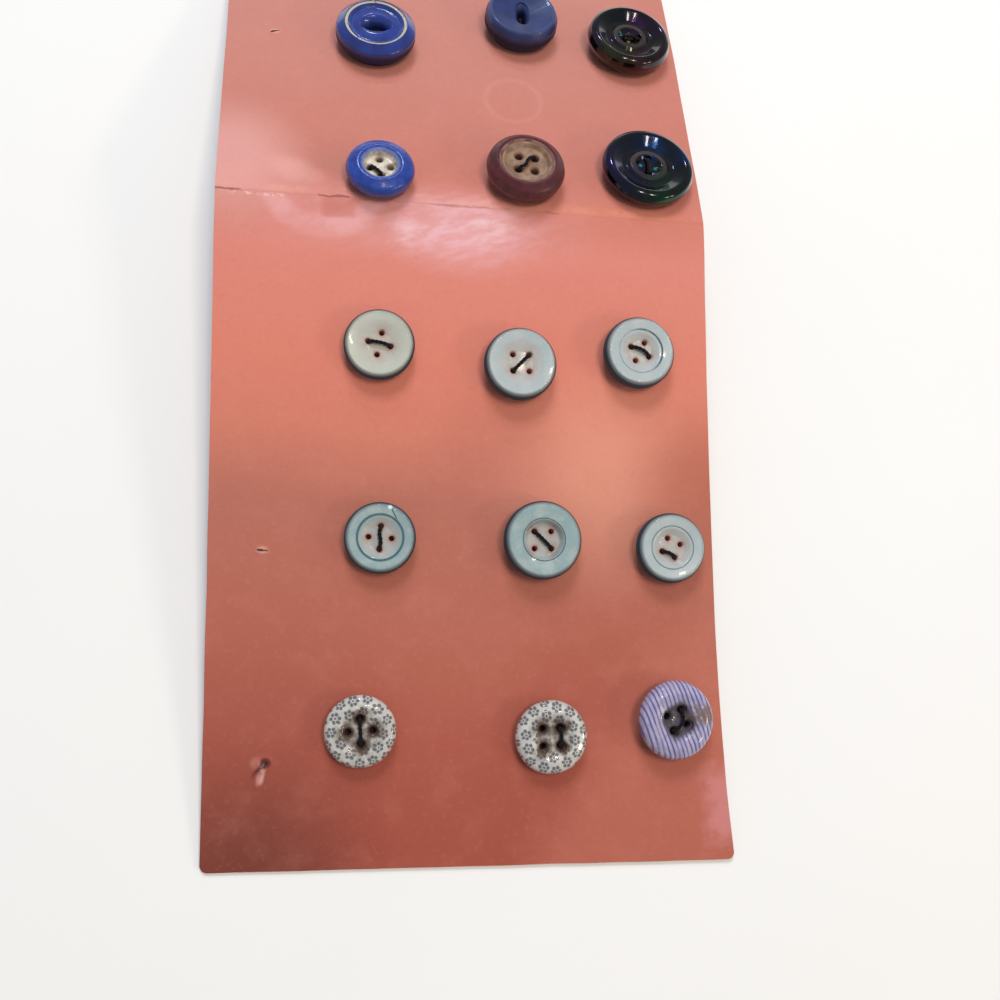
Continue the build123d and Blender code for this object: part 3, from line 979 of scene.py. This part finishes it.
def chip(piece, seat, places):
    """Small scallops broken out of a rim: angle, how far past the rim, share of the height, and size."""
    cutters = []
    for angle, past, share, size in places:
        deselect()
        bpy.ops.mesh.primitive_ico_sphere_add(subdivisions=2, radius=size * mm)
        cutter = bpy.context.object
        for vertex in cutter.data.vertices:
            vertex.co *= 1 + 0.25 * noise.noise(vertex.co / (size * mm) * 1.7 + Vector((angle, 0, 0)))
        turn = math.radians(angle)
        out = seat.radius + past
        middle = Vector((out * math.cos(turn), out * math.sin(turn), seat.height * share))
        cutter.data.transform(Matrix.Translation(middle * mm) @ Matrix.Diagonal((1.0, 1.0, 0.6, 1.0)))
        cutters.append(cutter)
    cut(piece, joined(cutters, "chips"))


# ---------------------------------------------------------------- button finishes
gilt_ring = 5.2  # the gilt line's distance from its button's axis


class ButtonFinish(Finish):
    """A finish laid out about a button's seat."""

    def __init__(self, name, **constants):
        super().__init__(name, **constants)
        self.seat = seats[name]
        self.here = self.place(self.seat)
        self.x, self.y, self.z = self.split(self.here)
        self.out = self.length(self.join(self.x, self.y))

    def around(self):
        return self.math("ARCTAN2", self.y, self.x)

    def lower_side(self, start, end):
        """0 above one share of the button's height, 1 below the other."""
        return self.fade(self.z, self.seat.height * start, self.seat.height * end)

    def near_holes(self, reach, soft):
        holes = self.seat.holes
        return self.largest(*[self.spot(self.x, self.y, hole.x, hole.y, reach, soft) for hole in holes])


def pearl_finish(name, face, well, groove, soil, cracked):
    """Pale grey shell: cloudy and cool, dark on the side partly with painted shade, and painted warm light in
    the holes, where the card shows through.
    """
    finish = ButtonFinish(name, IOR=1.5, Coat_Roughness=0.06)
    fade, band, wash = finish.fade, finish.band, finish.wash
    x, y, out, radius = finish.x, finish.y, finish.out, finish.seat.radius
    cloud = finish.noise(finish.here, 2.6)
    fine = finish.noise(finish.here, 0.5, detail=2.0)
    finish.base = finish.tint(fade(cloud, 0.4, 0.7) * 0.3, face, (198, 202, 196))
    wash(fade(out, well + 0.4, well - 0.8) * 0.6, (188, 182, 176))
    wash(fade(fine, 0.5, 0.8) * 0.12, (226, 226, 220))
    # The dark teal outer brim and side: partly the shell's dark back, partly painted shade low on the side.
    below = finish.lower_side(0.95, 0.79) * fade(out, radius - 1.8, radius - 1.0)
    wash(fade(out, radius - 1.0, radius - 0.35) * 0.55, (54, 84, 92))
    wash(below, (12, 56, 70))
    if groove:
        middle, width, strength, towards = groove
        part = strength
        if towards is not None:
            part = fade(finish.math("COSINE", finish.around() - math.radians(towards)), -0.1, 0.75) * strength
        wash(band(out, middle, width, 0.14) * part, (56, 96, 108))
    # Painted light in the thread holes: the lit card's warm colour laid on their walls and mouths.
    wash(finish.near_holes(0.45, 0.5) * 0.7, (186, 126, 118))
    wash(finish.near_holes(0.7, 1.5) * fade(cloud, 0.3, 0.62) * soil, (150, 120, 104))
    if cracked:
        line = band(x * 0.89 + y * 0.46, 3.64, 0.05, 0.14) * band(y, 4.1, 2.0, 0.4)
        wash(line * 0.9, (40, 62, 72))
        # A painted blue-white glint where the crack meets the rim.
        wash(finish.spot(x, y, 1.55, 4.75, 0.18, 0.3), (216, 236, 250))
    finish.set(Base_Color=finish.base, Roughness=0.18 + cloud * 0.12 + below * 0.3)
    finish.set(Coat_Weight=(1 - below) * 0.6)
    finish.set(Normal=finish.bump(fine * 0.012 + cloud * 0.03, 0.5))
    return finish


def moulded_glass(name, colour, deep, coat):
    """Opaque glass, with painted shade low on its side, where it is also dull."""
    finish = ButtonFinish(name, IOR=1.5, Coat_Roughness=0.08)
    finish.cloud = finish.noise(finish.here, 3.0)
    finish.low = finish.lower_side(0.78, 0.48)
    finish.base = finish.tint(finish.fade(finish.cloud, 0.35, 0.7), colour, deep)
    # Painted shade low on the side.
    finish.wash(finish.low * 0.9, [0.2 * value for value in linear(*deep)[:3]] + [1.0])
    finish.set(Coat_Weight=(1 - finish.low) * coat)
    return finish


def gilt_finish(name):
    finish = moulded_glass(name, (32, 56, 142), (26, 44, 114), 0.8)
    worn_gilt = finish.noise(finish.here, 0.7)
    height = finish.seat.height
    gold = finish.band(finish.out, gilt_ring, 0.36, 0.1) * finish.fade(worn_gilt, 0.28, 0.42)
    gold = gold * finish.fade(finish.z, height - 1.2, height - 0.8)
    finish.wash(gold, (212, 205, 180))
    finish.set(Base_Color=finish.base, Metallic=gold * 0.3)
    finish.set(Roughness=0.16 + finish.cloud * 0.1 + gold * 0.14 + finish.low * 0.4)
    finish.set(Normal=finish.bump(gold * 0.05 + finish.cloud * 0.05, 0.7))
    return finish


def slate_finish(name):
    finish = moulded_glass(name, (42, 55, 107), (34, 44, 88), 0.25)
    fine = finish.noise(finish.here, 0.35, detail=2.0)
    finish.wash(finish.band(finish.out, finish.seat.radius - 0.8, 0.25, 0.4) * 0.12, (112, 130, 190))
    finish.set(Base_Color=finish.base, Roughness=0.34 + finish.cloud * 0.16 + finish.low * 0.3)
    finish.set(Normal=finish.bump(fine * 0.015 + finish.cloud * 0.05, 0.6))
    return finish


def lustre_finish(name, hues, raised, painted_glints):
    """Black glass with an iridescent skin whose colour changes around the button."""
    finish = ButtonFinish(name, IOR=1.6, Coat_Weight=0.6, Coat_Roughness=0.03)
    swirl = finish.noise(finish.here, 2.4, detail=2.0, distortion=1.0)
    turn = finish.around() / math.tau + 0.5 + (swirl - 0.5) * 0.25 + finish.out * 0.02
    stops = [(number / (len(hues) - 1), linear(*hue)) for number, hue in enumerate(hues)]
    skin = finish.node("ValToRGB", {"stops": stops}, {0: finish.math("FRACT", turn)})
    strength = finish.fade(finish.noise(finish.here, 3.0), 0.4, 0.66)
    finish.base = finish.tint(0.12 + strength * 0.5, (14, 14, 18), skin)
    ring = finish.band(finish.out, raised, 0.5, 0.35)
    finish.wash(ring * (0.1 + finish.fade(finish.y, -3.0, 3.0) * 0.5 + swirl * 0.2), (98, 86, 76))
    # Painted glints beside the thread.
    for at_x, at_y, colour in painted_glints:
        finish.wash(finish.spot(finish.x, finish.y, at_x, at_y, 0.1, 0.38), colour)
    finish.set(Base_Color=finish.base, Metallic=0.8 + strength * 0.15 - ring * 0.25)
    finish.set(Roughness=0.1 + swirl * 0.1 + ring * 0.12)
    finish.set(Normal=finish.bump(swirl * 0.05, 0.6))
    return finish


def blue_rim_finish(name):
    finish = ButtonFinish(name, IOR=1.5, Coat_Roughness=0.15)
    cloud = finish.noise(finish.here, 1.2, detail=4.0)
    blue = finish.tint(finish.fade(cloud, 0.35, 0.7), (36, 68, 160), (28, 52, 134))
    cream = finish.tint(finish.fade(cloud, 0.35, 0.65), (220, 210, 194), (182, 168, 150))
    cream = finish.tint(finish.near_holes(0.45, 0.6) * 0.6, cream, (112, 90, 78))
    edge = finish.out + (finish.noise(finish.here, 0.6) - 0.5) * 0.4
    low = finish.fade(finish.z, finish.seat.height * 0.6, 0.3)
    finish.base = finish.tint(finish.fade(edge, 2.95, 2.55), blue, cream)
    # Painted shade low on the side.
    finish.wash(low * 0.8, (16, 24, 74))
    finish.wash(finish.band(edge, 2.9, 0.3, 0.3) * 0.4, (150, 160, 190))
    finish.set(Base_Color=finish.base, Coat_Weight=(1 - low) * 0.5)
    finish.set(Roughness=0.34 + finish.fade(finish.out, 2.9, 2.6) * 0.4)
    finish.set(Normal=finish.bump(cloud * 0.06, 0.7))
    return finish


def maroon_finish(name):
    finish = ButtonFinish(name, IOR=1.5, Coat_Weight=0.35, Coat_Roughness=0.25)
    cloud = finish.noise(finish.here, 1.6, detail=4.0)
    maroon = finish.tint(finish.fade(cloud, 0.35, 0.7), (86, 30, 36), (68, 22, 30))
    tan = finish.tint(finish.fade(cloud, 0.35, 0.65), (158, 128, 102), (126, 96, 78))
    tan = finish.tint(finish.near_holes(0.55, 0.7) * 0.7, tan, (84, 54, 44))
    finish.base = finish.tint(finish.fade(finish.out, 4.4, 4.1), maroon, tan)
    # Painted shade low on the side.
    finish.wash(finish.fade(finish.z, finish.seat.height * 0.6, 0.4) * 0.85, (38, 14, 20))
    # A paler broken ring along the step.
    pale_step_ring = finish.band(finish.out, 4.5, 0.2, 0.2) * finish.fade(cloud, 0.3, 0.6)
    finish.wash(pale_step_ring * 0.6, (168, 126, 116))
    finish.set(Base_Color=finish.base, Roughness=0.36 + cloud * 0.2)
    finish.set(Normal=finish.bump(cloud * 0.07, 0.8))
    return finish


def china(name, seed, soil_reach):
    """White glaze with the makings of a brown stain about its holes."""
    finish = ButtonFinish(name, IOR=1.52, Coat_Weight=0.7, Coat_Roughness=0.07)
    finish.cloud = finish.noise(finish.shift(finish.here, (seed, 0, 0)), 1.3, detail=4.0)
    ragged = finish.near_holes(0.8, soil_reach) * finish.fade(finish.cloud, 0.34, 0.56)
    finish.stain = finish.largest(finish.near_holes(0.75, 0.9), ragged)
    finish.low = finish.lower_side(0.72, 0.4)
    return finish


def flower_mask(finish, x, y, spacing):
    """Small flowers in staggered rows: six petals about a dot."""
    row_height = spacing * 0.87
    row = finish.math("FLOOR", y / row_height)
    shifted = x / spacing + finish.math("FLOORED_MODULO", row, 2.0) * 0.5
    column = finish.math("FLOOR", shifted)
    here_x = (shifted - column - 0.5) * spacing
    here_y = (y / row_height - row - 0.5) * row_height
    out = finish.length(finish.join(here_x, here_y))
    turn = finish.math("ARCTAN2", here_y, here_x) + row * 1.3 + column * 0.7
    petal = finish.math("FLOORED_MODULO", turn, math.tau / 6) - math.tau / 12
    along = out * finish.math("COSINE", petal) - spacing * 0.28
    off = out * finish.math("SINE", petal)
    away = finish.length(finish.join(along, off))
    return finish.largest(finish.fade(away, 0.36, 0.2), finish.fade(out, 0.28, 0.1))


def calico_finish(name, turn, seed):
    finish = china(name, seed, 1.9)
    cloud, stain = finish.cloud, finish.stain
    across, along, _ = finish.split(finish.place(finish.seat, turn))
    warp = (finish.noise(finish.here, 2.5) - 0.5) * 0.9
    flowers = flower_mask(finish, across + warp + seed, along - warp, 2.15)
    flowers = flowers * finish.fade(finish.out, 2.1, 2.5)
    grime = finish.fade(finish.noise(finish.here, 0.8, detail=4.0), 0.4, 0.58)
    grime = grime * finish.fade(finish.out, 2.8, 1.2)
    finish.base = finish.tint(finish.fade(cloud, 0.35, 0.7), (206, 204, 198), (186, 186, 184))
    finish.wash(flowers * 0.8, (54, 58, 76))
    finish.wash(finish.largest(stain, grime * 0.75) * 0.95, (78, 54, 34))
    finish.wash(finish.near_holes(0.5, 0.5) * 0.8, (60, 38, 26))
    # Painted shade, cool and lilac, low on the side.
    finish.wash(finish.low * 0.7, (112, 106, 124))
    finish.set(Base_Color=finish.base, Roughness=0.18 + stain * 0.4 + cloud * 0.1)
    finish.set(Normal=finish.bump(cloud * 0.05 - stain * 0.05, 0.7))
    return finish


def striped_finish(name):
    finish = china(name, 4.0, 1.2)
    cloud, stain = finish.cloud, finish.stain
    across, along, _ = finish.split(finish.place(finish.seat, 19.0))
    pitch = 0.72
    wave = across + (finish.noise(finish.here, 3.0) - 0.5) * 0.25
    line = finish.math("ABSOLUTE", finish.math("FRACT", wave / pitch) - 0.5)
    broken = finish.noise(finish.join(across * 1.2, along * 0.25), 0.9, detail=2.0)
    stripe = finish.fade(line, 0.28, 0.14) * (0.35 + finish.fade(broken, 0.3, 0.55) * 0.65)
    smear = finish.fade(finish.x, 1.2, 3.0) * finish.band(finish.y, 0.9, 1.6, 1.3)
    smear = smear * finish.fade(cloud, 0.3, 0.5)
    finish.base = finish.tint(finish.fade(cloud, 0.3, 0.7), (182, 174, 198), (160, 152, 184))
    finish.wash(stripe * finish.fade(finish.out, 1.9, 2.3) * 0.85, (66, 74, 142))
    finish.wash(finish.fade(finish.out, 2.9, 2.2) * 0.9, (74, 66, 78))
    finish.wash(smear * 0.85, (118, 94, 82))
    finish.wash(stain * 0.8, (62, 50, 48))
    # Painted shade low on the side.
    finish.wash(finish.low * 0.7, (70, 64, 110))
    finish.set(Base_Color=finish.base, Roughness=0.2 + stain * 0.3 + cloud * 0.1)
    finish.set(Normal=finish.bump(cloud * 0.05, 0.7))
    return finish


def thread_finish():
    finish = Finish("black_thread", Sheen_Weight=0.1, Specular_IOR_Level=0.2)
    fluff = finish.noise(finish.place(), 0.25)
    finish.set(Base_Color=finish.tint(fluff, (9, 8, 10), (26, 22, 24)), Roughness=0.62 + fluff * 0.2)
    finish.set(Normal=finish.bump(fluff * 0.05, 0.8))
    return finish.material


# ---------------------------------------------------------------- buttons
grey = (172, 184, 188)
green = (186, 190, 178)
blue = (140, 164, 168)
# Each shell button has its well, slope and lip, its face, its groove and its soil. A groove has its middle,
# its width, how dark it is, and the angle that it is darkest towards.
pearls = {
    "pearl_plain_left": (3.8, 1.9, 0.25, green, None, 0.3),
    "pearl_plain_middle": (3.8, 1.9, 0.25, grey, None, 0.3),
    "pearl_grooved": (3.1, 1.2, 0.3, grey, (3.65, 0.2, 0.8, 25), 0.3),
    "pearl_cracked": (3.2, 1.2, 0.2, blue, (3.6, 0.28, 0.75, None), 0.3),
    "pearl_deep_well": (3.2, 0.5, 0.2, blue, (3.4, 0.1, 0.6, None), 0.45),
    "pearl_stepped": (3.1, 1.0, 0.3, grey, (3.5, 0.15, 0.3, None), 0.3),
}
# Each black lustre button has its well and lip, its skin's colours anticlockwise from the left, and the
# painted glints beside its thread.
lustres = {
    "black_lustre_small": (
        3.1, 0.9,
        [(30, 44, 40), (70, 40, 90), (80, 84, 40), (90, 40, 56), (26, 26, 34), (96, 50, 120), (24, 28, 50),
         (30, 44, 40)],
        [(-1.6, 0.8, (90, 190, 200)), (-0.1, 1.0, (220, 130, 190)), (-0.2, -0.9, (230, 226, 130))]),
    "black_lustre_large": (
        3.25, 0.8,
        [(16, 44, 70), (50, 34, 110), (30, 40, 80), (30, 80, 44), (14, 30, 54), (24, 76, 140), (20, 50, 100),
         (16, 44, 70)],
        [(-1.25, 0.3, (70, 190, 220)), (1.3, -0.2, (80, 180, 220)), (0.9, -1.5, (150, 150, 170))]),
}
rim_chips = [(-62, 0.1, 0.7, 0.35), (-82, 0.15, 0.68, 0.3), (-48, 0.2, 0.66, 0.32), (150, 0.1, 0.7, 0.3)]
calico_turns = {"calico_left": (12, 1.1), "calico_middle": (-20, 6.3)}  # pattern's turn and its shift


def make_button(name, section, finish, hole, flare, uneven=0.0, eye=None, chips=()):
    """A button turned, cut and drilled on the Z axis, then laid on its seat."""
    seat = seats[name]
    piece = turned("sewn_" + name, section)
    wavering(piece, uneven, 3.0)
    if eye:
        carve_eye(piece, *eye)
    drill(piece, seat, hole, flare)
    if chips:
        chip(piece, seat, chips)
    piece.data.transform(seat.matrix)
    for vertex in piece.data.vertices:
        vertex.co.z = min(vertex.co.z, cad_box[1][2])
    stand_in(piece, finish.material, "button_" + name)


def make_buttons():
    for name, (well, slope, lip, face, groove, soil) in pearls.items():
        section = dish_section(seats[name], well, slope, lip, *(groove or ())[:2])
        finish = pearl_finish(name, face, well, groove, soil, name == "pearl_cracked")
        make_button(name, section, finish, 0.84, 0.16, uneven=0.09)

    name = "gilt_ring_blue"
    section = eye_section(seats[name], 4.7, 0.8, 0.4, 0.5, 1.6, crown=0.6, gutter=gilt_ring)
    eye = (4.8, 2.9, 2.4, 0, seats[name].height - 0.35, 0.8)
    make_button(name, section, gilt_finish(name), 1.1, 0.05, eye=eye)

    name = "slate_blue"
    section = eye_section(seats[name], 5.2, 1.1, 3.6, 0.2, 0.7)
    eye = (4.4, 1.7, 2.3, 90, seats[name].height - 1.1, 0.7)
    make_button(name, section, slate_finish(name), 1.1, 0.05, eye=eye)

    for name, (well, lip, hues, painted_glints) in lustres.items():
        section = lustre_section(seats[name], well, lip)
        finish = lustre_finish(name, hues, well - 0.4, painted_glints)
        make_button(name, section, finish, 1.1, 0.25)

    name = "blue_rim"
    section = ring_section(seats[name], 2.85, 0.35, 2.0)
    make_button(name, section, blue_rim_finish(name), 1.0, 0.4)

    name = "maroon"
    section = ring_section(seats[name], 4.0, 0.4, 1.6, step=4.6, undercut=2.2)
    make_button(name, section, maroon_finish(name), 1.1, 0.4, chips=rim_chips)

    for name, (turn, seed) in calico_turns.items():
        section = china_section(seats[name], 2.8)
        make_button(name, section, calico_finish(name, turn, seed), 1.0, 0.35, uneven=0.08)

    name = "blue_striped"
    section = china_section(seats[name], 2.9)
    make_button(name, section, striped_finish(name), 1.0, 0.35, uneven=0.08)


# ---------------------------------------------------------------- sewing
ply_pitch = 1.3
knot_size = 0.14
knot_thread = 0.17
tail_thread = 0.15
# Which two holes each thread joins, how far it bows sideways at its third points, and its thickness.
stitches = {
    "gilt_ring_blue": (0, 1, 0.0, 0.0, 0.7),
    "slate_blue": (0, 1, 0.0, 0.0, 0.7),
    "black_lustre_small": (0, 1, 0.0, 0.0, 0.7),
    "blue_rim": (2, 3, 0.0, 0.0, 0.7),
    "maroon": (2, 0, -0.45, 0.45, 0.7),
    "black_lustre_large": (0, 1, 0.0, 0.0, 0.7),
    "pearl_plain_left": (2, 0, 0.1, 0.15, 0.7),
    "pearl_plain_middle": (2, 0, 0.0, 0.0, 0.7),
    "pearl_grooved": (1, 3, 0.25, 0.35, 0.7),
    "pearl_cracked": (1, 3, -0.2, 0.2, 0.75),
    "pearl_deep_well": (1, 3, 0.0, 0.0, 0.7),
    "pearl_stepped": (2, 3, 0.15, 0.15, 0.7),
    "calico_left": (1, 3, 0.0, 0.0, 0.7),
    "calico_middle": (0, 3, 0.1, 0.1, 0.7),
    "blue_striped": (0, 2, 0.75, 0.75, 0.7),
}


def curve_points(points):
    """Points along a smooth curve through given control points, in mm."""
    data = bpy.data.curves.new("route", "CURVE")
    data.dimensions = "3D"
    data.resolution_u = 8
    spline = data.splines.new("NURBS")
    spline.points.add(len(points) - 1)
    for slot, point in zip(spline.points, points):
        slot.co = (*point, 1.0)
    spline.order_u = 3
    spline.use_endpoint_u = True
    route = bpy.data.objects.new("route", data)
    bpy.context.scene.collection.objects.link(route)
    mesh = bpy.data.meshes.new_from_object(route)
    result = [vertex.co.copy() for vertex in mesh.vertices]
    bpy.data.meshes.remove(mesh)
    delete(route)
    return result


def tube(name, points, radius, closed=False):
    """A round strand along points in mm."""
    data = bpy.data.curves.new(name, "CURVE")
    data.dimensions = "3D"
    data.bevel_depth = radius * mm
    data.bevel_resolution = 2
    data.use_fill_caps = not closed
    spline = data.splines.new("POLY")
    spline.points.add(len(points) - 1)
    for slot, point in zip(spline.points, points):
        slot.co = (*(point * mm), 1.0)
    spline.use_cyclic_u = closed
    strand = bpy.data.objects.new(name, data)
    bpy.context.scene.collection.objects.link(strand)
    pick(strand)
    bpy.ops.object.convert(target="MESH")
    return bpy.context.object


def ply_points(route, offset, phase):
    """A helix around a route."""
    result = []
    travelled = 0.0
    side = Vector((0.3, 0.7, 0.2))
    for number, point in enumerate(route):
        before = route[max(0, number - 1)]
        after = route[min(len(route) - 1, number + 1)]
        run = (after - before).normalized()
        side = (side - run * side.dot(run)).normalized()
        up = run.cross(side)
        travelled += (point - before).length
        turn = math.tau * travelled / ply_pitch + phase
        result.append(point + (side * math.cos(turn) + up * math.sin(turn)) * offset)
    return result


def refined(route, step):
    """The same line with evenly spaced points."""
    lengths = [0.0]
    for first, second in zip(route, route[1:]):
        lengths.append(lengths[-1] + (second - first).length)
    count = max(8, int(lengths[-1] / step))
    stations = np.linspace(0, lengths[-1], count)
    spread = [np.interp(stations, lengths, [point[axis] for point in route]) for axis in range(3)]
    return [Vector(values) for values in zip(*spread)]


def thread_knot(middle):
    """A small closed knot about a point."""
    points = []
    for step in range(42):
        t = math.tau * step / 42
        across = math.sin(t) + 2 * math.sin(2 * t)
        along = math.cos(t) - 2 * math.cos(2 * t)
        points.append(middle + Vector((across, along, -math.sin(3 * t))) * knot_size)
    return tube("knot", points, knot_thread, closed=True)


def make_stitch(name, first, second, bows, thickness, material):
    """Two twisted plies through two holes, and a knot with two tails behind the card."""
    node = "stitch_" + name
    seat = seats[name]
    low = min((seat.matrix.inverted() @ Vector(point)).z for point in mesh_points(node)) / mm
    run = (second - first).normalized()
    side = Vector((-run.y, run.x, 0))
    up = Vector((0, 0, 1))
    top = seat.floor + thickness / 2 + 0.08
    behind = low + 0.8
    arch = up * (top + 0.12)
    middle = (first + second) / 2 + up * behind
    points = [
        middle + side * 0.15,
        first.lerp(second, 0.2) + up * (behind - 0.1),
        first + up * (behind + 0.15),
        first + up * 0.6,
        first + up * (seat.floor - 0.5),
        first + run * 0.1 + up * (top - 0.02),
        first.lerp(second, 0.33) + side * bows[0] + arch,
        first.lerp(second, 0.67) + side * bows[1] + arch,
        second - run * 0.1 + up * (top - 0.02),
        second + up * (seat.floor - 0.5),
        second + up * 0.6,
        second + up * (behind + 0.15),
        first.lerp(second, 0.8) + up * (behind - 0.1),
        middle - side * 0.15,
    ]
    route = refined(curve_points(points), 0.12)
    strands = [tube("ply", ply_points(route, thickness * 0.17, phase), thickness * 0.3)
               for phase in (0.0, math.pi)]
    strands.append(thread_knot(middle))
    for way in (1, -1):
        tail = [middle, middle + side * way * 0.45 - up * 0.1, middle + side * way * 0.95 + run * 0.2,
                middle + side * way * 1.5 + run * 0.55 + up * 0.1]
        strands.append(tube("tail", refined(curve_points(tail), 0.15), tail_thread))
    piece = joined(strands, "sewing_" + name)
    piece.data.transform(seat.matrix)
    stand_in(piece, material, node, 60)


def sew():
    material = thread_finish()
    for name, (start, end, first_bow, second_bow, thickness) in stitches.items():
        holes = seats[name].holes
        make_stitch(name, holes[start], holes[end], (first_bow, second_bow), thickness, material)


# ---------------------------------------------------------------- the whole
make_camera()
light_scene()
make_floor()
make_card()
make_buttons()
sew()
